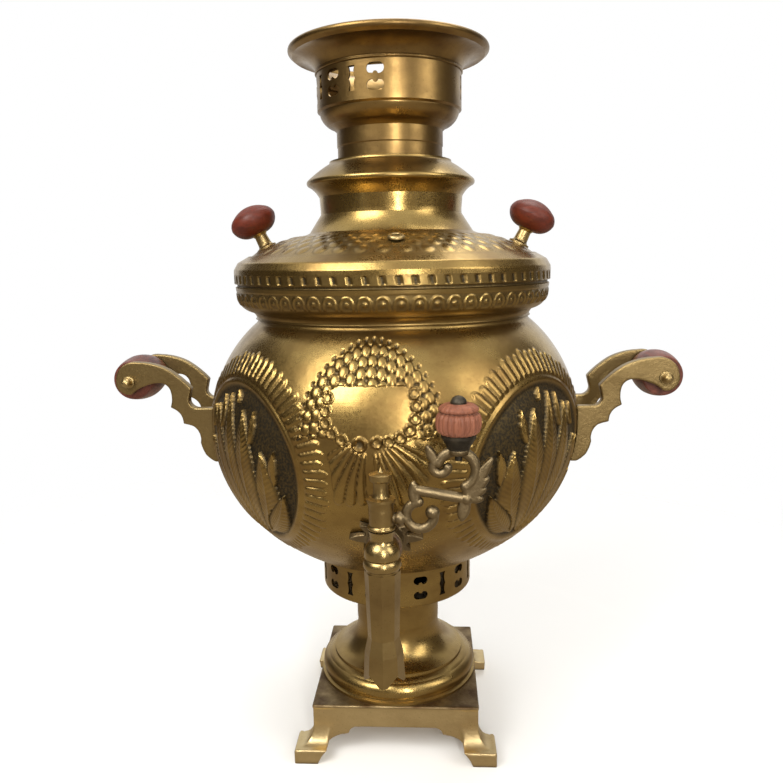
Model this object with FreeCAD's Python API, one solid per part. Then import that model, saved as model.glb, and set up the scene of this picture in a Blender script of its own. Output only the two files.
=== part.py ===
"""Brass charcoal samovar: footed base, fluted stand, round tank with a fire tube, domed lid, pierced crown and tap.

The tank's axis is vertical. Everything is drawn round that axis as zero and shifted by AXIS_Y when it is written,
so that the origin lies under the middle of the whole object's outer box, on the surface it stands on.
Front, where the tap is, is -Y. The carrying handles are at +X and -X. Sizes are in millimetres.
"""
import FreeCAD
import Part
import math
import os
from FreeCAD import Vector

AXIS_Y = 17.5                 # how far the tank's axis lies behind the origin

# Clearances
SEAT = 0.15                   # soldered and riveted seats on curved walls
RUN = 0.05                    # running fit of a turned pin or plug, on the radius
LIFT = 0.4                    # loose fit of what lifts off, on the radius

# Base plate with bracket feet
PLATE_HALF = 58.5
PLATE_TOP = 37.5
PLATE_LIP = 1.8
LIP_OUT = 0.7
PLATE_SKIN = 3.5
APRON_WALL = 4.0
APRON_EDGE = 21.0             # height of the apron's straight lower edge
APRON_STRAIGHT = 20.0         # half length of that edge
CUSP_X = 33.0
CUSP_Z = 15.5
TOE_OUT = 11.4                # how far a toe stands out past the plinth
TOE_HEIGHT = 9.0
TOE_WIDTH = 16.5
ANKLE_Z = 22.0

# Stand between base and vent ring
STAND_HEIGHT = 71.5
STAND_MARGIN = 0.5            # plinth left uncovered by the stand's foot
STAND_GROOVE = 16.0           # height of the groove above the plinth
STAND_BELL_IN = 10.0
STAND_WAIST_R = 30.5
STAND_WAIST = 42.5            # height of the waist above the plinth
STAND_WALL = 2.2
SCREW_R = 2.0
SCREW_HEAD_R = 3.8
SCREW_HEAD = 2.4
SCREW_BITE = 9.0

# Pierced vent ring under the tank
RING_R = 54.5
RING_HEIGHT = 24.4
RING_WALL = 1.4
RING_REPEATS = 10
RING_SLOT_PHASE = 2.0

# Tank
BODY_R = 128.5
SHOULDER_ARC_R = 91.7
BELLY_ARC_R = 94.0
BELLY_ARC_TURN = 42.3
HIP_ARC_R = 135.0
BODY_WALL = 1.2
FLOOR_ROLL = 0.964            # height of the rolled edge where the tank's curve leaves its floor
NECK_R = 94.2
NECK_FLARE = 2.3              # how much wider than the neck the shoulder ends
NECK_FLARE_HEIGHT = 3.595
PAN_HEIGHT = 31.6             # soldered seam between the tank's pan and its bowl
BOWL_SEAM_DROP = 8.0          # seam between bowl and shoulder, below the widest line

# Collar round the tank's mouth
COLLAR_OUT = 14.7             # how far the collar stands out from the neck
COLLAR_HEIGHT = 30.7
COLLAR_WALL = 1.4
DENTIL_BAND = 6.3
DENTIL_COUNT = 72
DENTIL_GAP = 2.9
DENTIL_DEPTH = 0.8

# Fire tube and grate
TUBE_FOOT_R = 45.2
TUBE_TOP_R = 33.0
TUBE_WALL = 1.6
TUBE_FLANGE_OUT = 5.8
TUBE_FLANGE = 1.6
GRATE_THICK = 3.0
GRATE_LEDGE = 4.5
GRATE_BAR = 4.2
GRATE_SLOT = 4.6
TUBE_COLLAR_WALL = 2.45
TUBE_COLLAR_HEIGHT = 16.3

# Lid
LID_BRIM = 0.8                # how far the lid's rim stands out past the collar
LID_WALL = 1.2
LID_SKIRT = 14.0
LID_NECK_ROOM = 12.9          # steam way between the tube's collar and the neck
LID_NECK_HEIGHT = 50.1        # from the lid's seat to the seam at the top of its neck
LID_SHOULDER_OUT = 9.0
LID_SHOULDER_HEIGHT = 24.5
VENT_R = 5.2
VENT_HOLE_R = 2.2
VENT_IN = 31.7                # steam vent's middle inside the lid's rim
VENT_AZIMUTH = 5.0
VENT_SINK = 0.137              # eyelet's foot below the dome's surface
VENT_UPRIGHT = 0.984          # degrees by which it leans less than the dome there
LID_KNOB_IN = 22.2            # knob's foot inside the lid's rim
LID_KNOB_SINK = 0.1895
LID_KNOB_TILT = 0.875         # degrees by which it leans out more than the dome there
LID_KNOB_R = 16.3
LID_KNOB_HEIGHT = 20.0
LID_STEM_R = 4.7
LID_STEM_HEIGHT = 12.0
LID_SCREW_R = 2.2
LID_NUT_R = 5.0

# Crown that carries the teapot
CROWN_RAISED = 9.8            # crown's seat on the tube's collar, above the lid's top
CROWN_NECK_WALL = 2.6
CROWN_WALL = 1.3
SOCKET_HEIGHT = 21.7
SOCKET_SLEEVE = 8.7
GALLERY_OUT = 12.6
GALLERY_HEIGHT = 23.5
RIM_OUT = 18.2
RIM_HEIGHT = 16.5
CROWN_REPEATS = 3
CROWN_PITCH = 37.0

# Tap
TAP_RAISED = 51.6             # tap's bore above the tank's floor
TAP_STANDOFF = 23.5           # tap's upright axis outside the widest line of the tank
SPOUT_DROP = 69.0
SPOUT_FLARE = 25.5
TAP_BARREL_HEIGHT = 17.6
TAP_BARREL_R = 10.3
TAP_SHANK_R = 6.6
TAP_BORE_R = 3.4
TAP_BOSS_R = 10.5
TAP_SHOULDER = 17.5
WASHER_THICK = 1.5
PLUG_TOP_R = 4.3
PLUG_END_R = 3.7
PLUG_DROP = 7.0
PLUG_PORT_R = 2.3
PLUG_SLIP = 0.4               # plug's head above the barrel, and its foot above the seat's end
OUTLET_R = 4.2

# Key lever and its knob
LEVER_REACH = 41.0            # knob axis from the tap's axis
LEVER_ROOT = 6.4              # lever's root above the barrel
LEVER_RISE = 37.6             # underside of the knob's socket above the root
LEVER_BAR_R = 1.9
KNOB_R = 12.0
KNOB_HEIGHT = 16.2
CUP_HEIGHT = 8.0
CUP_FOOT_R = 5.4
CUP_R = 9.2
KEY_SCREW_R = 2.0

# Carrying handles
HANDLE_REACH = 56.5           # grip's axis outside the widest line of the tank
HANDLE_RISE = 30.5            # grip's axis above that line
ROD_R = 2.5
GRIP_R = 16.0
GRIP_END_R = 13.8
GRIP_LENGTH = 34.6
GRIP_PLAY = 0.2               # between the grip's end and a bracket
BRACKET_THICK = 7.0
BALL_NUT_R = 3.4
RIVET_R = 1.6
RIVET_HEAD_R = 3.2
RIVET_STEP = 22.0             # between the two rivets of a bracket
RIVET_RISE = 3.0              # upper rivet above the widest line

# Values that follow
FOOT_REACH = PLATE_HALF + TOE_OUT
STAND_FOOT_R = PLATE_HALF - STAND_MARGIN
STAND_BEAD_R = STAND_FOOT_R - 1.0
STAND_BELL_R = STAND_FOOT_R - STAND_BELL_IN
STAND_SCREW_R = STAND_BELL_R
STAND_GROOVE_Z = PLATE_TOP + STAND_GROOVE
STAND_WAIST_Z = PLATE_TOP + STAND_WAIST
STAND_TOP_R = STAND_WAIST_R + 2.5
RING_FLOOR_HOLE = STAND_WAIST_R - 4.5
RING_BOTTOM = PLATE_TOP + STAND_HEIGHT
RING_TOP = RING_BOTTOM + RING_HEIGHT
BODY_FLOOR_Z = RING_TOP
TANK_FOOT_R = RING_R + 0.1
ARC_STEP = HIP_ARC_R - BELLY_ARC_R
HIP_X = BODY_R - BELLY_ARC_R - ARC_STEP * math.cos(math.radians(BELLY_ARC_TURN))
HIP_Z = BODY_FLOOR_Z + FLOOR_ROLL + math.sqrt(HIP_ARC_R ** 2 - (TANK_FOOT_R - HIP_X) ** 2)
HIP_CENTRE = (HIP_X, HIP_Z)
BELLY_Z = HIP_Z - ARC_STEP * math.sin(math.radians(BELLY_ARC_TURN))
BELLY_CENTRE = (BODY_R - BELLY_ARC_R, BELLY_Z)
SHOULDER_CENTRE = (BODY_R - SHOULDER_ARC_R, BELLY_Z)
SHOULDER_TOP_R = NECK_R + NECK_FLARE
SHOULDER_TOP = BELLY_Z + math.sqrt(SHOULDER_ARC_R ** 2 - (SHOULDER_TOP_R - SHOULDER_CENTRE[0]) ** 2)
PAN_SEAM = BODY_FLOOR_Z + PAN_HEIGHT
BOWL_SEAM = BELLY_Z - BOWL_SEAM_DROP
COLLAR_SEAT_Z = SHOULDER_TOP + NECK_FLARE_HEIGHT
NECK_SEAM = COLLAR_SEAT_Z - 0.7
COLLAR_TOP = COLLAR_SEAT_Z + COLLAR_HEIGHT
COLLAR_R = NECK_R + COLLAR_OUT
COLLAR_BAND_R = COLLAR_R - 0.7
DENTIL_LOW = COLLAR_TOP - DENTIL_BAND
LID_SEAT = COLLAR_TOP
LID_R = COLLAR_R + LID_BRIM
LID_SEAM_Z = LID_SEAT + LID_NECK_HEIGHT
TUBE_COLLAR_R = TUBE_TOP_R + SEAT + TUBE_COLLAR_WALL
LID_NECK_R = TUBE_COLLAR_R + LID_NECK_ROOM
LID_SHOULDER_R = LID_NECK_R + LID_SHOULDER_OUT
LID_TOP = LID_SEAM_Z + LID_SHOULDER_HEIGHT
LID_KNOB_AT_R = LID_R - LID_KNOB_IN
VENT_AT_R = LID_R - VENT_IN
RIM_SEAT_Z = LID_TOP + CROWN_RAISED
TUBE_END = RIM_SEAT_Z + 6.7
TUBE_TAPER_END = COLLAR_TOP - 5.9
TUBE_FLANGE_R = TUBE_FOOT_R + TUBE_FLANGE_OUT
TUBE_COLLAR_LOW = RIM_SEAT_Z - TUBE_COLLAR_HEIGHT
BORE = TUBE_TOP_R - TUBE_WALL
CROWN_NECK_R = TUBE_TOP_R + LIFT + CROWN_NECK_WALL
GALLERY_R = CROWN_NECK_R + GALLERY_OUT
GALLERY_LOW = RIM_SEAT_Z + SOCKET_HEIGHT
GALLERY_TOP = GALLERY_LOW + GALLERY_HEIGHT
RIM_R = GALLERY_R + RIM_OUT
CROWN_TOP = GALLERY_TOP + RIM_HEIGHT
TAP_Z = BODY_FLOOR_Z + TAP_RAISED
TAP_REACH = BODY_R + TAP_STANDOFF
TAP_SPOUT_END = TAP_Z - SPOUT_DROP
TAP_SPOUT_FLARE = TAP_SPOUT_END + SPOUT_FLARE
TAP_BARREL_TOP = TAP_Z + TAP_BARREL_HEIGHT
TAP_BOSS_END = TAP_REACH - TAP_SHOULDER - WASHER_THICK
PLUG_END_Z = TAP_Z - PLUG_DROP
LEVER_ROOT_Z = TAP_BARREL_TOP + LEVER_ROOT
SOCKET_LOW = LEVER_ROOT_Z + LEVER_RISE
KNOB_LOW = SOCKET_LOW + CUP_HEIGHT
ROD_X = BODY_R + HANDLE_REACH
ROD_Z = BELLY_Z + HANDLE_RISE
BRACKET_INSIDE = GRIP_LENGTH / 2 + GRIP_PLAY
RIVET_HEIGHTS = (BELLY_Z + RIVET_RISE - RIVET_STEP, BELLY_Z + RIVET_RISE)
RIVET_TIP = BODY_R + 2.5
TAP_AXIS = Vector(0, -TAP_REACH, 0)
UP = Vector(0, 0, 1)
FRONT = Vector(0, -1, 0)
ORIGIN = Vector(0, 0, 0)


def write(name, *solids):
    """Write one node, moved so that the origin is under the middle of the outer box."""
    shape = solids[0] if len(solids) == 1 else Part.makeCompound(list(solids))
    shape = shape.copy()
    shape.translate(Vector(0, AXIS_Y, 0))
    shape.exportStep(os.path.join("parts", name + ".step"))


def bowed(p, q, bow, facing):
    """Edge from p to q: straight, or an arc that bows to the right of its direction by bow."""
    if not bow:
        return Part.LineSegment(p, q).toShape()
    side = (q - p).normalize().cross(facing)
    return Part.Arc(p, (p + q) * 0.5 + side * bow, q).toShape()


def flat_face(steps, place):
    """Closed face through steps of (a, b) or (a, b, bow); bow belongs to the edge that arrives there."""
    points = [place(s[0], s[1]) for s in steps]
    facing = FRONT if place is upright else UP
    edges = []
    for i, step in enumerate(steps):
        bow = step[2] if len(step) > 2 else 0.0
        if (points[i] - points[i - 1]).Length > 1e-6:
            edges.append(bowed(points[i - 1], points[i], bow, facing))
    return Part.Face(Part.Wire(edges))


def upright(a, b):
    return Vector(a, 0, b)


def level(a, b):
    return Vector(a, b, 0)


def turned(steps):
    """Solid of revolution about Z through steps of (radius, height) or (radius, height, bow)."""
    solid = flat_face(steps, upright).revolve(ORIGIN, UP, 360)
    if solid.Volume < 0:
        solid.reverse()
    return solid


def plate(steps, place, low, high):
    """The closed outline, pushed from low to high square to its plane."""
    face = flat_face(steps, place)
    normal = Vector(0, 1, 0) if place is upright else UP
    face.translate(normal * low)
    return face.extrude(normal * (high - low))


def rod(radius, start, end):
    return Part.makeCylinder(radius, (end - start).Length, start, end - start)


def box(low, high):
    size = high - low
    return Part.makeBox(size.x, size.y, size.z, low)


def fused(solids):
    whole = solids[0].multiFuse(solids[1:])
    return whole.removeSplitter()


def spin(shape, degrees):
    copy = shape.copy()
    copy.rotate(ORIGIN, UP, degrees)
    return copy


def on_arc(centre, radius, degrees):
    return (
        centre[0] + radius * math.cos(math.radians(degrees)),
        centre[1] + radius * math.sin(math.radians(degrees)),
    )


def sagitta(radius, degrees):
    return radius * (1 - math.cos(math.radians(degrees) / 2))


def tank_curve(offset):
    """The tank's outer curve, moved inwards by offset: steps from the hip's end up to the neck."""
    hip_r = HIP_ARC_R - offset
    belly_r = BELLY_ARC_R - offset
    shoulder_r = SHOULDER_ARC_R - offset
    hip_end = -math.degrees(math.acos((TANK_FOOT_R - offset * 0.4 - HIP_CENTRE[0]) / hip_r))
    top = math.degrees(math.acos((SHOULDER_TOP_R - offset - SHOULDER_CENTRE[0]) / shoulder_r))
    return [
        on_arc(HIP_CENTRE, hip_r, hip_end),
        on_arc(HIP_CENTRE, hip_r, -BELLY_ARC_TURN) + (sagitta(hip_r, -BELLY_ARC_TURN - hip_end),),
        on_arc(BELLY_CENTRE, belly_r, 0) + (sagitta(belly_r, BELLY_ARC_TURN),),
        on_arc(SHOULDER_CENTRE, shoulder_r, top) + (sagitta(shoulder_r, top),),
    ]


def tank_envelope(clearance):
    """Everything inside the tank's outer surface, with a clearance, to cut what seats on it."""
    curve = tank_curve(-clearance)
    return turned([(0, curve[0][1])] + curve + [(0, curve[-1][1])])


def cap(radius, rise):
    """Sagitta of the round cap that meets the axis square, from this radius up or down by rise."""
    ball = (radius ** 2 + rise ** 2) / (2 * rise)
    half_turn = math.asin(min(1.0, radius / ball)) / 2
    if rise > radius:
        half_turn = math.pi / 2 - half_turn
    return ball * (1 - math.cos(half_turn))


# Base plate: hollow square plinth whose apron runs into four bracket feet

APRON_EDGE_LINE = (
    (APRON_STRAIGHT, APRON_EDGE),
    (CUSP_X - 6.0, APRON_EDGE - 0.3),
    (CUSP_X, CUSP_Z, -1.7),
    (FOOT_REACH - TOE_WIDTH, 0.0, -4.2),
)


def apron_arch():
    """What is cut from the plinth under the apron, from side to side."""
    half = APRON_EDGE_LINE
    foot = half[-1][0]
    steps = list(half) + [(foot, -1.0), (-foot, -1.0), (-foot, 0.0)]
    for i in range(len(half) - 1, 0, -1):
        bow = half[i][2] if len(half[i]) > 2 else 0.0
        steps.append((-half[i - 1][0], half[i - 1][1], bow))
    return plate(steps, upright, -FOOT_REACH - 1, FOOT_REACH + 1)


def foot_profile():
    """A foot seen square to the plinth: a toe that swells out of the wall."""
    inner = FOOT_REACH - TOE_WIDTH - 6.5
    outline = [
        (PLATE_HALF - LIP_OUT, ANKLE_Z),
        (PLATE_HALF + 1.6, ANKLE_Z - 8.0, 0.4),
        (FOOT_REACH - 0.8, TOE_HEIGHT + 1.6, 1.7),
        (FOOT_REACH, TOE_HEIGHT - 0.6, -0.4),
        (FOOT_REACH, 0.0),
        (inner, 0.0),
        (inner, ANKLE_Z),
    ]
    return plate(outline, upright, 0, FOOT_REACH + 1)


def base_plate():
    wall = PLATE_HALF - LIP_OUT
    outside = box(Vector(-wall, -wall, 0), Vector(wall, wall, PLATE_TOP - PLATE_LIP))
    lip = box(Vector(-PLATE_HALF, -PLATE_HALF, PLATE_TOP - PLATE_LIP), Vector(PLATE_HALF, PLATE_HALF, PLATE_TOP))
    lip = lip.makeChamfer(0.6, [e for e in lip.Edges if e.BoundBox.ZMin > PLATE_TOP - 0.1])
    inside = wall - APRON_WALL
    hollow = box(Vector(-inside, -inside, -1), Vector(inside, inside, PLATE_TOP - PLATE_SKIN))
    profile = foot_profile()
    foot = profile.common(mirrored_diagonal(profile))
    base = fused([outside.cut(hollow), lip] + [spin(foot, 90 * i) for i in range(4)])
    arch = apron_arch()
    base = base.cut(arch).cut(spin(arch, 90))
    for i in range(4):
        base = base.cut(stand_screw_hole(45 + 90 * i))
    return base


def mirrored_diagonal(shape):
    """The shape with X and Y exchanged."""
    return shape.mirror(ORIGIN, Vector(1, -1, 0).normalize())


def stand_screw_hole(azimuth):
    hole = rod(SCREW_R + RUN, Vector(STAND_SCREW_R, 0, 0), Vector(STAND_SCREW_R, 0, PLATE_TOP + SCREW_BITE + 0.5))
    return spin(hole, azimuth)


def stand_screw(azimuth):
    low = PLATE_TOP - PLATE_SKIN
    head = rod(SCREW_HEAD_R, Vector(STAND_SCREW_R, 0, low - SCREW_HEAD), Vector(STAND_SCREW_R, 0, low))
    shank = rod(SCREW_R, Vector(STAND_SCREW_R, 0, low), Vector(STAND_SCREW_R, 0, PLATE_TOP + SCREW_BITE))
    slot = box(Vector(-4.0, -0.5, low - SCREW_HEAD - 1), Vector(4.0, 0.5, low - SCREW_HEAD + 0.9))
    slot.translate(Vector(STAND_SCREW_R, 0, 0))
    return spin(head.fuse(shank).cut(slot), azimuth)


def stand():
    foot = PLATE_TOP
    waist = STAND_WAIST_R
    inner_foot = STAND_SCREW_R - 5.0
    bell_drop = STAND_WAIST_Z - STAND_GROOVE_Z - 2.0
    solid = turned([
        (inner_foot, foot),
        (STAND_FOOT_R, foot),
        (STAND_FOOT_R, foot + 1.8),
        (STAND_BEAD_R - 0.9, foot + 2.6),
        (STAND_BEAD_R - 0.9, foot + 3.8),
        (STAND_BEAD_R - 4.4, STAND_GROOVE_Z - 2.2, 2.4),
        (STAND_BELL_R + 0.2, STAND_GROOVE_Z, 0.3),
        (STAND_BELL_R, STAND_GROOVE_Z + 2.0),
        (waist, STAND_WAIST_Z, -6.2 * bell_drop / 24.5),
        (waist, STAND_WAIST_Z + 12.0),
        (STAND_TOP_R, RING_BOTTOM - 2.5, -0.6),
        (STAND_TOP_R, RING_BOTTOM),
        (RING_FLOOR_HOLE, RING_BOTTOM),
        (RING_FLOOR_HOLE, RING_BOTTOM - 4.0),
        (waist - STAND_WALL, STAND_WAIST_Z + 12.0),
        (waist - STAND_WALL, STAND_WAIST_Z - 2.0),
        (inner_foot, STAND_GROOVE_Z - 1.0, 5.0 * bell_drop / 24.5),
    ])
    for i in range(4):
        solid = solid.cut(stand_screw_hole(45 + 90 * i))
    return solid


# Pierced fretwork: cutters drawn flat round a point of the wall, facing -Y

def kidney(width, height, notch_up):
    half = width / 2 - height / 2
    r = height / 2
    bean = plate([(-half, -r), (half, -r), (half, r, r), (-half, r), (-half, -r, r)], upright, -4, 4)
    side = r if notch_up else -r
    return bean.cut(rod(height * 0.24, Vector(0, -5, side), Vector(0, 5, side)))


def scalloped_slot(width, height):
    half = width / 2
    tall = height / 2
    dip = width * 0.2
    steps = [
        (-half, -tall),
        (half, -tall),
        (half, 0.0, -dip),
        (half, tall, -dip),
        (-half, tall),
        (-half, 0.0, -dip),
        (-half, -tall, -dip),
    ]
    return plate(steps[1:] + steps[:1], upright, -4, 4)


def pierced(wall, radius, motifs):
    """Cut motifs, given as (shape, azimuth, height), through a round wall; azimuth 0 is the front."""
    cutters = []
    for shape, azimuth, height in motifs:
        cutter = shape.copy()
        cutter.translate(Vector(0, -radius, height))
        cutters.append(spin(cutter, azimuth))
    return wall.cut(Part.makeCompound(cutters))


def vent_ring():
    inner = RING_R - RING_WALL
    wall = turned([
        (RING_FLOOR_HOLE, RING_BOTTOM),
        (RING_R - 1.2, RING_BOTTOM),
        (RING_R, RING_BOTTOM + 1.2, 0.35),
        (RING_R, RING_TOP),
        (inner, RING_TOP),
        (inner, RING_BOTTOM + RING_WALL),
        (RING_FLOOR_HOLE, RING_BOTTOM + RING_WALL),
    ])
    pitch = 360.0 / RING_REPEATS
    middle = (RING_BOTTOM + RING_TOP) / 2 + 1.3
    motifs = []
    for i in range(RING_REPEATS):
        at = RING_SLOT_PHASE + i * pitch
        motifs.append((scalloped_slot(5.2, 16.6), at, middle))
        motifs.append((kidney(10.0, 5.6, False), at + pitch / 2, middle + 5.3))
        motifs.append((kidney(10.0, 5.6, True), at + pitch / 2, middle - 5.3))
    return pierced(wall, RING_R, motifs)


# Tank, collar, fire tube and grate

def tank_shell():
    """The whole tank in one piece, before it is parted at its seams."""
    outer = tank_curve(0)
    inner = tank_curve(BODY_WALL)
    hole = TUBE_FOOT_R + SEAT
    steps = [(hole, BODY_FLOOR_Z), (outer[0][0], BODY_FLOOR_Z)] + outer
    steps += [
        (NECK_R, NECK_SEAM, -0.6),
        (NECK_R, COLLAR_TOP - 0.4),
        (NECK_R - BODY_WALL, COLLAR_TOP - 0.4),
        (NECK_R - BODY_WALL, COLLAR_SEAT_Z - 1.0),
        inner[3][:2],
        inner[2][:2] + (-outer[3][2] * 0.985,),
        inner[1][:2] + (-outer[2][2] * 0.985,),
        (inner[0][0], BODY_FLOOR_Z + 2.2, -outer[1][2] * 0.985),
        (inner[0][0] - 2.0, BODY_FLOOR_Z + BODY_WALL),
        (hole, BODY_FLOOR_Z + BODY_WALL),
    ]
    shell = turned(steps)
    shell = shell.cut(rod(TAP_SHANK_R + RUN, Vector(0, -TAP_BOSS_END, TAP_Z), Vector(0, -BODY_R * 0.7, TAP_Z)))
    for side, end, height in rivet_places():
        shell = shell.cut(rivet_hole(side, end, height))
    return shell


def tank_bands():
    """The tank's four spun rings, parted at the level seams where they are soldered."""
    shell = tank_shell()
    seams = (BODY_FLOOR_Z - 1.0, PAN_SEAM, BOWL_SEAM, NECK_SEAM, COLLAR_TOP)
    reach = BODY_R + 1.0
    bands = []
    for low, high in zip(seams, seams[1:]):
        bands.append(shell.common(box(Vector(-reach, -reach, low), Vector(reach, reach, high))))
    return bands


def collar_ring():
    seat = NECK_R + SEAT
    low = COLLAR_SEAT_Z
    t = COLLAR_WALL
    ring = turned([
        (seat, low),
        (seat + 1.2, low + 0.4),
        (seat + 0.7, low + 1.8, -0.2),
        (seat + 3.6, low + 5.4, -0.5),
        (COLLAR_BAND_R - 1.0, low + 13.8, 1.7),
        (COLLAR_BAND_R, DENTIL_LOW - 2.4),
        (COLLAR_BAND_R - 1.2, DENTIL_LOW - 1.8),
        (COLLAR_BAND_R - 1.2, DENTIL_LOW - 0.4),
        (COLLAR_R, DENTIL_LOW),
        (COLLAR_R, COLLAR_TOP),
        (seat, COLLAR_TOP),
        (seat, COLLAR_TOP - t),
        (COLLAR_R - t - DENTIL_DEPTH, COLLAR_TOP - t),
        (COLLAR_R - t - DENTIL_DEPTH, DENTIL_LOW - 3.0),
        (COLLAR_BAND_R - 1.0 - t, low + 14.4),
        (seat + 2.9, low + 7.0, -1.5),
        (seat, low + 3.4),
    ])
    gap = box(
        Vector(-DENTIL_GAP / 2, -COLLAR_R - 1, DENTIL_LOW + 0.9),
        Vector(DENTIL_GAP / 2, -COLLAR_R + DENTIL_DEPTH, COLLAR_TOP - 1.3),
    )
    step = 360.0 / DENTIL_COUNT
    return ring.cut(Part.makeCompound([spin(gap, i * step) for i in range(DENTIL_COUNT)]))


def fire_tube():
    low = BODY_FLOOR_Z
    foot_in = TUBE_FOOT_R - TUBE_WALL
    return turned([
        (foot_in - GRATE_LEDGE, low - TUBE_FLANGE),
        (TUBE_FLANGE_R, low - TUBE_FLANGE),
        (TUBE_FLANGE_R, low),
        (TUBE_FOOT_R, low),
        (TUBE_TOP_R, TUBE_TAPER_END),
        (TUBE_TOP_R, TUBE_END),
        (BORE, TUBE_END),
        (BORE, TUBE_TAPER_END),
        (foot_in, low + TUBE_FLANGE),
        (foot_in - GRATE_LEDGE, low + TUBE_FLANGE),
    ])


def tube_collar():
    return turned([
        (TUBE_TOP_R + SEAT, TUBE_COLLAR_LOW),
        (TUBE_COLLAR_R - 0.8, TUBE_COLLAR_LOW),
        (TUBE_COLLAR_R, TUBE_COLLAR_LOW + 1.5),
        (TUBE_COLLAR_R, RIM_SEAT_Z - 1.8),
        (TUBE_COLLAR_R + 0.4, RIM_SEAT_Z - 1.0),
        (TUBE_COLLAR_R + 0.4, RIM_SEAT_Z),
        (TUBE_TOP_R + SEAT, RIM_SEAT_Z),
    ])


def fire_grate():
    low = BODY_FLOOR_Z + TUBE_FLANGE
    taper = (TUBE_FOOT_R - TUBE_TOP_R) / (TUBE_TAPER_END - BODY_FLOOR_Z)
    radius = TUBE_FOOT_R - TUBE_WALL - taper * (TUBE_FLANGE + GRATE_THICK) - LIFT
    disc = rod(radius, Vector(0, 0, low), Vector(0, 0, low + GRATE_THICK))
    pitch = GRATE_BAR + GRATE_SLOT
    count = int((radius - GRATE_LEDGE) / pitch)
    slots = []
    for i in range(-count, count + 1):
        half = math.sqrt((radius - GRATE_LEDGE - 0.8) ** 2 - (i * pitch) ** 2)
        slots.append(box(
            Vector(i * pitch - GRATE_SLOT / 2, -half, low - 1),
            Vector(i * pitch + GRATE_SLOT / 2, half, low + GRATE_THICK + 1),
        ))
    return disc.cut(Part.makeCompound(slots))


# Lid

def lid_curve():
    """The dome's outer curve, from the groove inside its brim up to the neck."""
    return [
        (LID_R - 12.5, LID_SEAT + 11.4, -0.1),
        (LID_NECK_R + 11.5, LID_SEAT + 25.1, 1.9),
        (LID_NECK_R, LID_SEAM_Z - 9.0, -3.6),
    ]


def dome_at(radius):
    """Height and slope, in degrees, of the dome's broad middle arc at this radius."""
    start, end = lid_curve()[:2]
    bow = end[2]
    chord = math.hypot(end[0] - start[0], end[1] - start[1])
    ball = (chord ** 2 / 4 + bow ** 2) / (2 * bow)
    inward = ((end[1] - start[1]) / chord, (start[0] - end[0]) / chord)
    centre_r = (start[0] + end[0]) / 2 - inward[0] * (ball - bow)
    centre_z = (start[1] + end[1]) / 2 - inward[1] * (ball - bow)
    slope = math.asin((radius - centre_r) / ball)
    return centre_z + ball * math.cos(slope), math.degrees(slope)


def lid_envelope(clearance):
    """Everything under the dome, with a clearance, to cut what seats on it."""
    curve = [(step[0], step[1] + clearance) + step[2:] for step in lid_curve()]
    foot = [(0, LID_SEAT), (curve[0][0] + 6.0, LID_SEAT), curve[0][:2]]
    return turned(foot + curve[1:] + [(0, curve[-1][1])])


def lid_dome():
    seat = LID_SEAT
    skirt = NECK_R - BODY_WALL - LIFT - 0.4
    t = LID_WALL
    neck = LID_NECK_R
    dome = turned([
        (skirt, seat - LID_SKIRT),
        (skirt, seat),
        (LID_R - 0.7, seat),
        (LID_R - 0.9, seat + 2.8, 0.55),
        (LID_R - 3.6, seat + 7.4, -0.5),
        (LID_R - 11.3, seat + 11.7, 0.35),
    ] + lid_curve() + [
        (neck + 0.6, LID_SEAM_Z),
        (neck + 0.6 - t, LID_SEAM_Z),
        (neck - t, LID_SEAM_Z - 9.4),
        (neck + 10.7, seat + 23.8, 3.8),
        (LID_R - 12.9, seat + 10.1, -1.85),
        (LID_R - 5.0, seat + 6.6),
        (LID_R - 3.8, seat + t),
        (skirt - t, seat + t),
        (skirt - t, seat - LID_SKIRT),
    ])
    for side in (1, -1):
        dome = dome.cut(lean(rod(LID_SCREW_R + RUN, Vector(0, 0, -12), Vector(0, 0, 8)), side))
    return dome.cut(on_vent(rod(VENT_HOLE_R + 1.0, Vector(0, 0, -8), Vector(0, 0, 8))))


def lean(shape, side):
    """Place a shape drawn on the Z axis at the left or right knob's foot, leaning outwards."""
    height, slope = dome_at(LID_KNOB_AT_R)
    copy = shape.copy()
    copy.rotate(ORIGIN, Vector(0, 1, 0), slope + LID_KNOB_TILT)
    copy.translate(Vector(LID_KNOB_AT_R, 0, height - LID_KNOB_SINK))
    return copy if side > 0 else spin(copy, 180)


def on_vent(shape):
    """Place a shape drawn on the Z axis square to the dome at the steam vent."""
    height, slope = dome_at(VENT_AT_R)
    copy = shape.copy()
    copy.rotate(ORIGIN, Vector(1, 0, 0), slope - VENT_UPRIGHT)
    copy.translate(Vector(0, -VENT_AT_R, height - VENT_SINK))
    return spin(copy, VENT_AZIMUTH)


def lid_shoulder():
    t = LID_WALL
    seam = LID_SEAM_Z
    neck = LID_NECK_R + 0.6
    sleeve = LID_NECK_R - t - SEAT
    hole = TUBE_COLLAR_R + LIFT + 0.4
    return turned([
        (sleeve - t, seam - 7.0),
        (sleeve, seam - 7.0),
        (sleeve, seam),
        (neck, seam),
        (LID_SHOULDER_R - 0.8, seam + 7.8, -0.9),
        (LID_SHOULDER_R - 0.6, seam + 11.0, 0.7),
        (hole + 6.2, LID_TOP - 2.9, 0.5),
        (hole + 5.2, LID_TOP - 0.9, -0.3),
        (hole + 0.3, LID_TOP),
        (hole, LID_TOP),
        (hole, LID_TOP - t),
        (hole + 4.5, LID_TOP - 2.3),
        (hole + 5.4, LID_TOP - 4.1),
        (LID_SHOULDER_R - 2.6, seam + 10.4, -0.4),
        (LID_SHOULDER_R - 2.6, seam + 8.8),
        (neck - t, seam + 1.6, 0.6),
        (sleeve - t, seam + 0.6),
    ])


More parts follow.
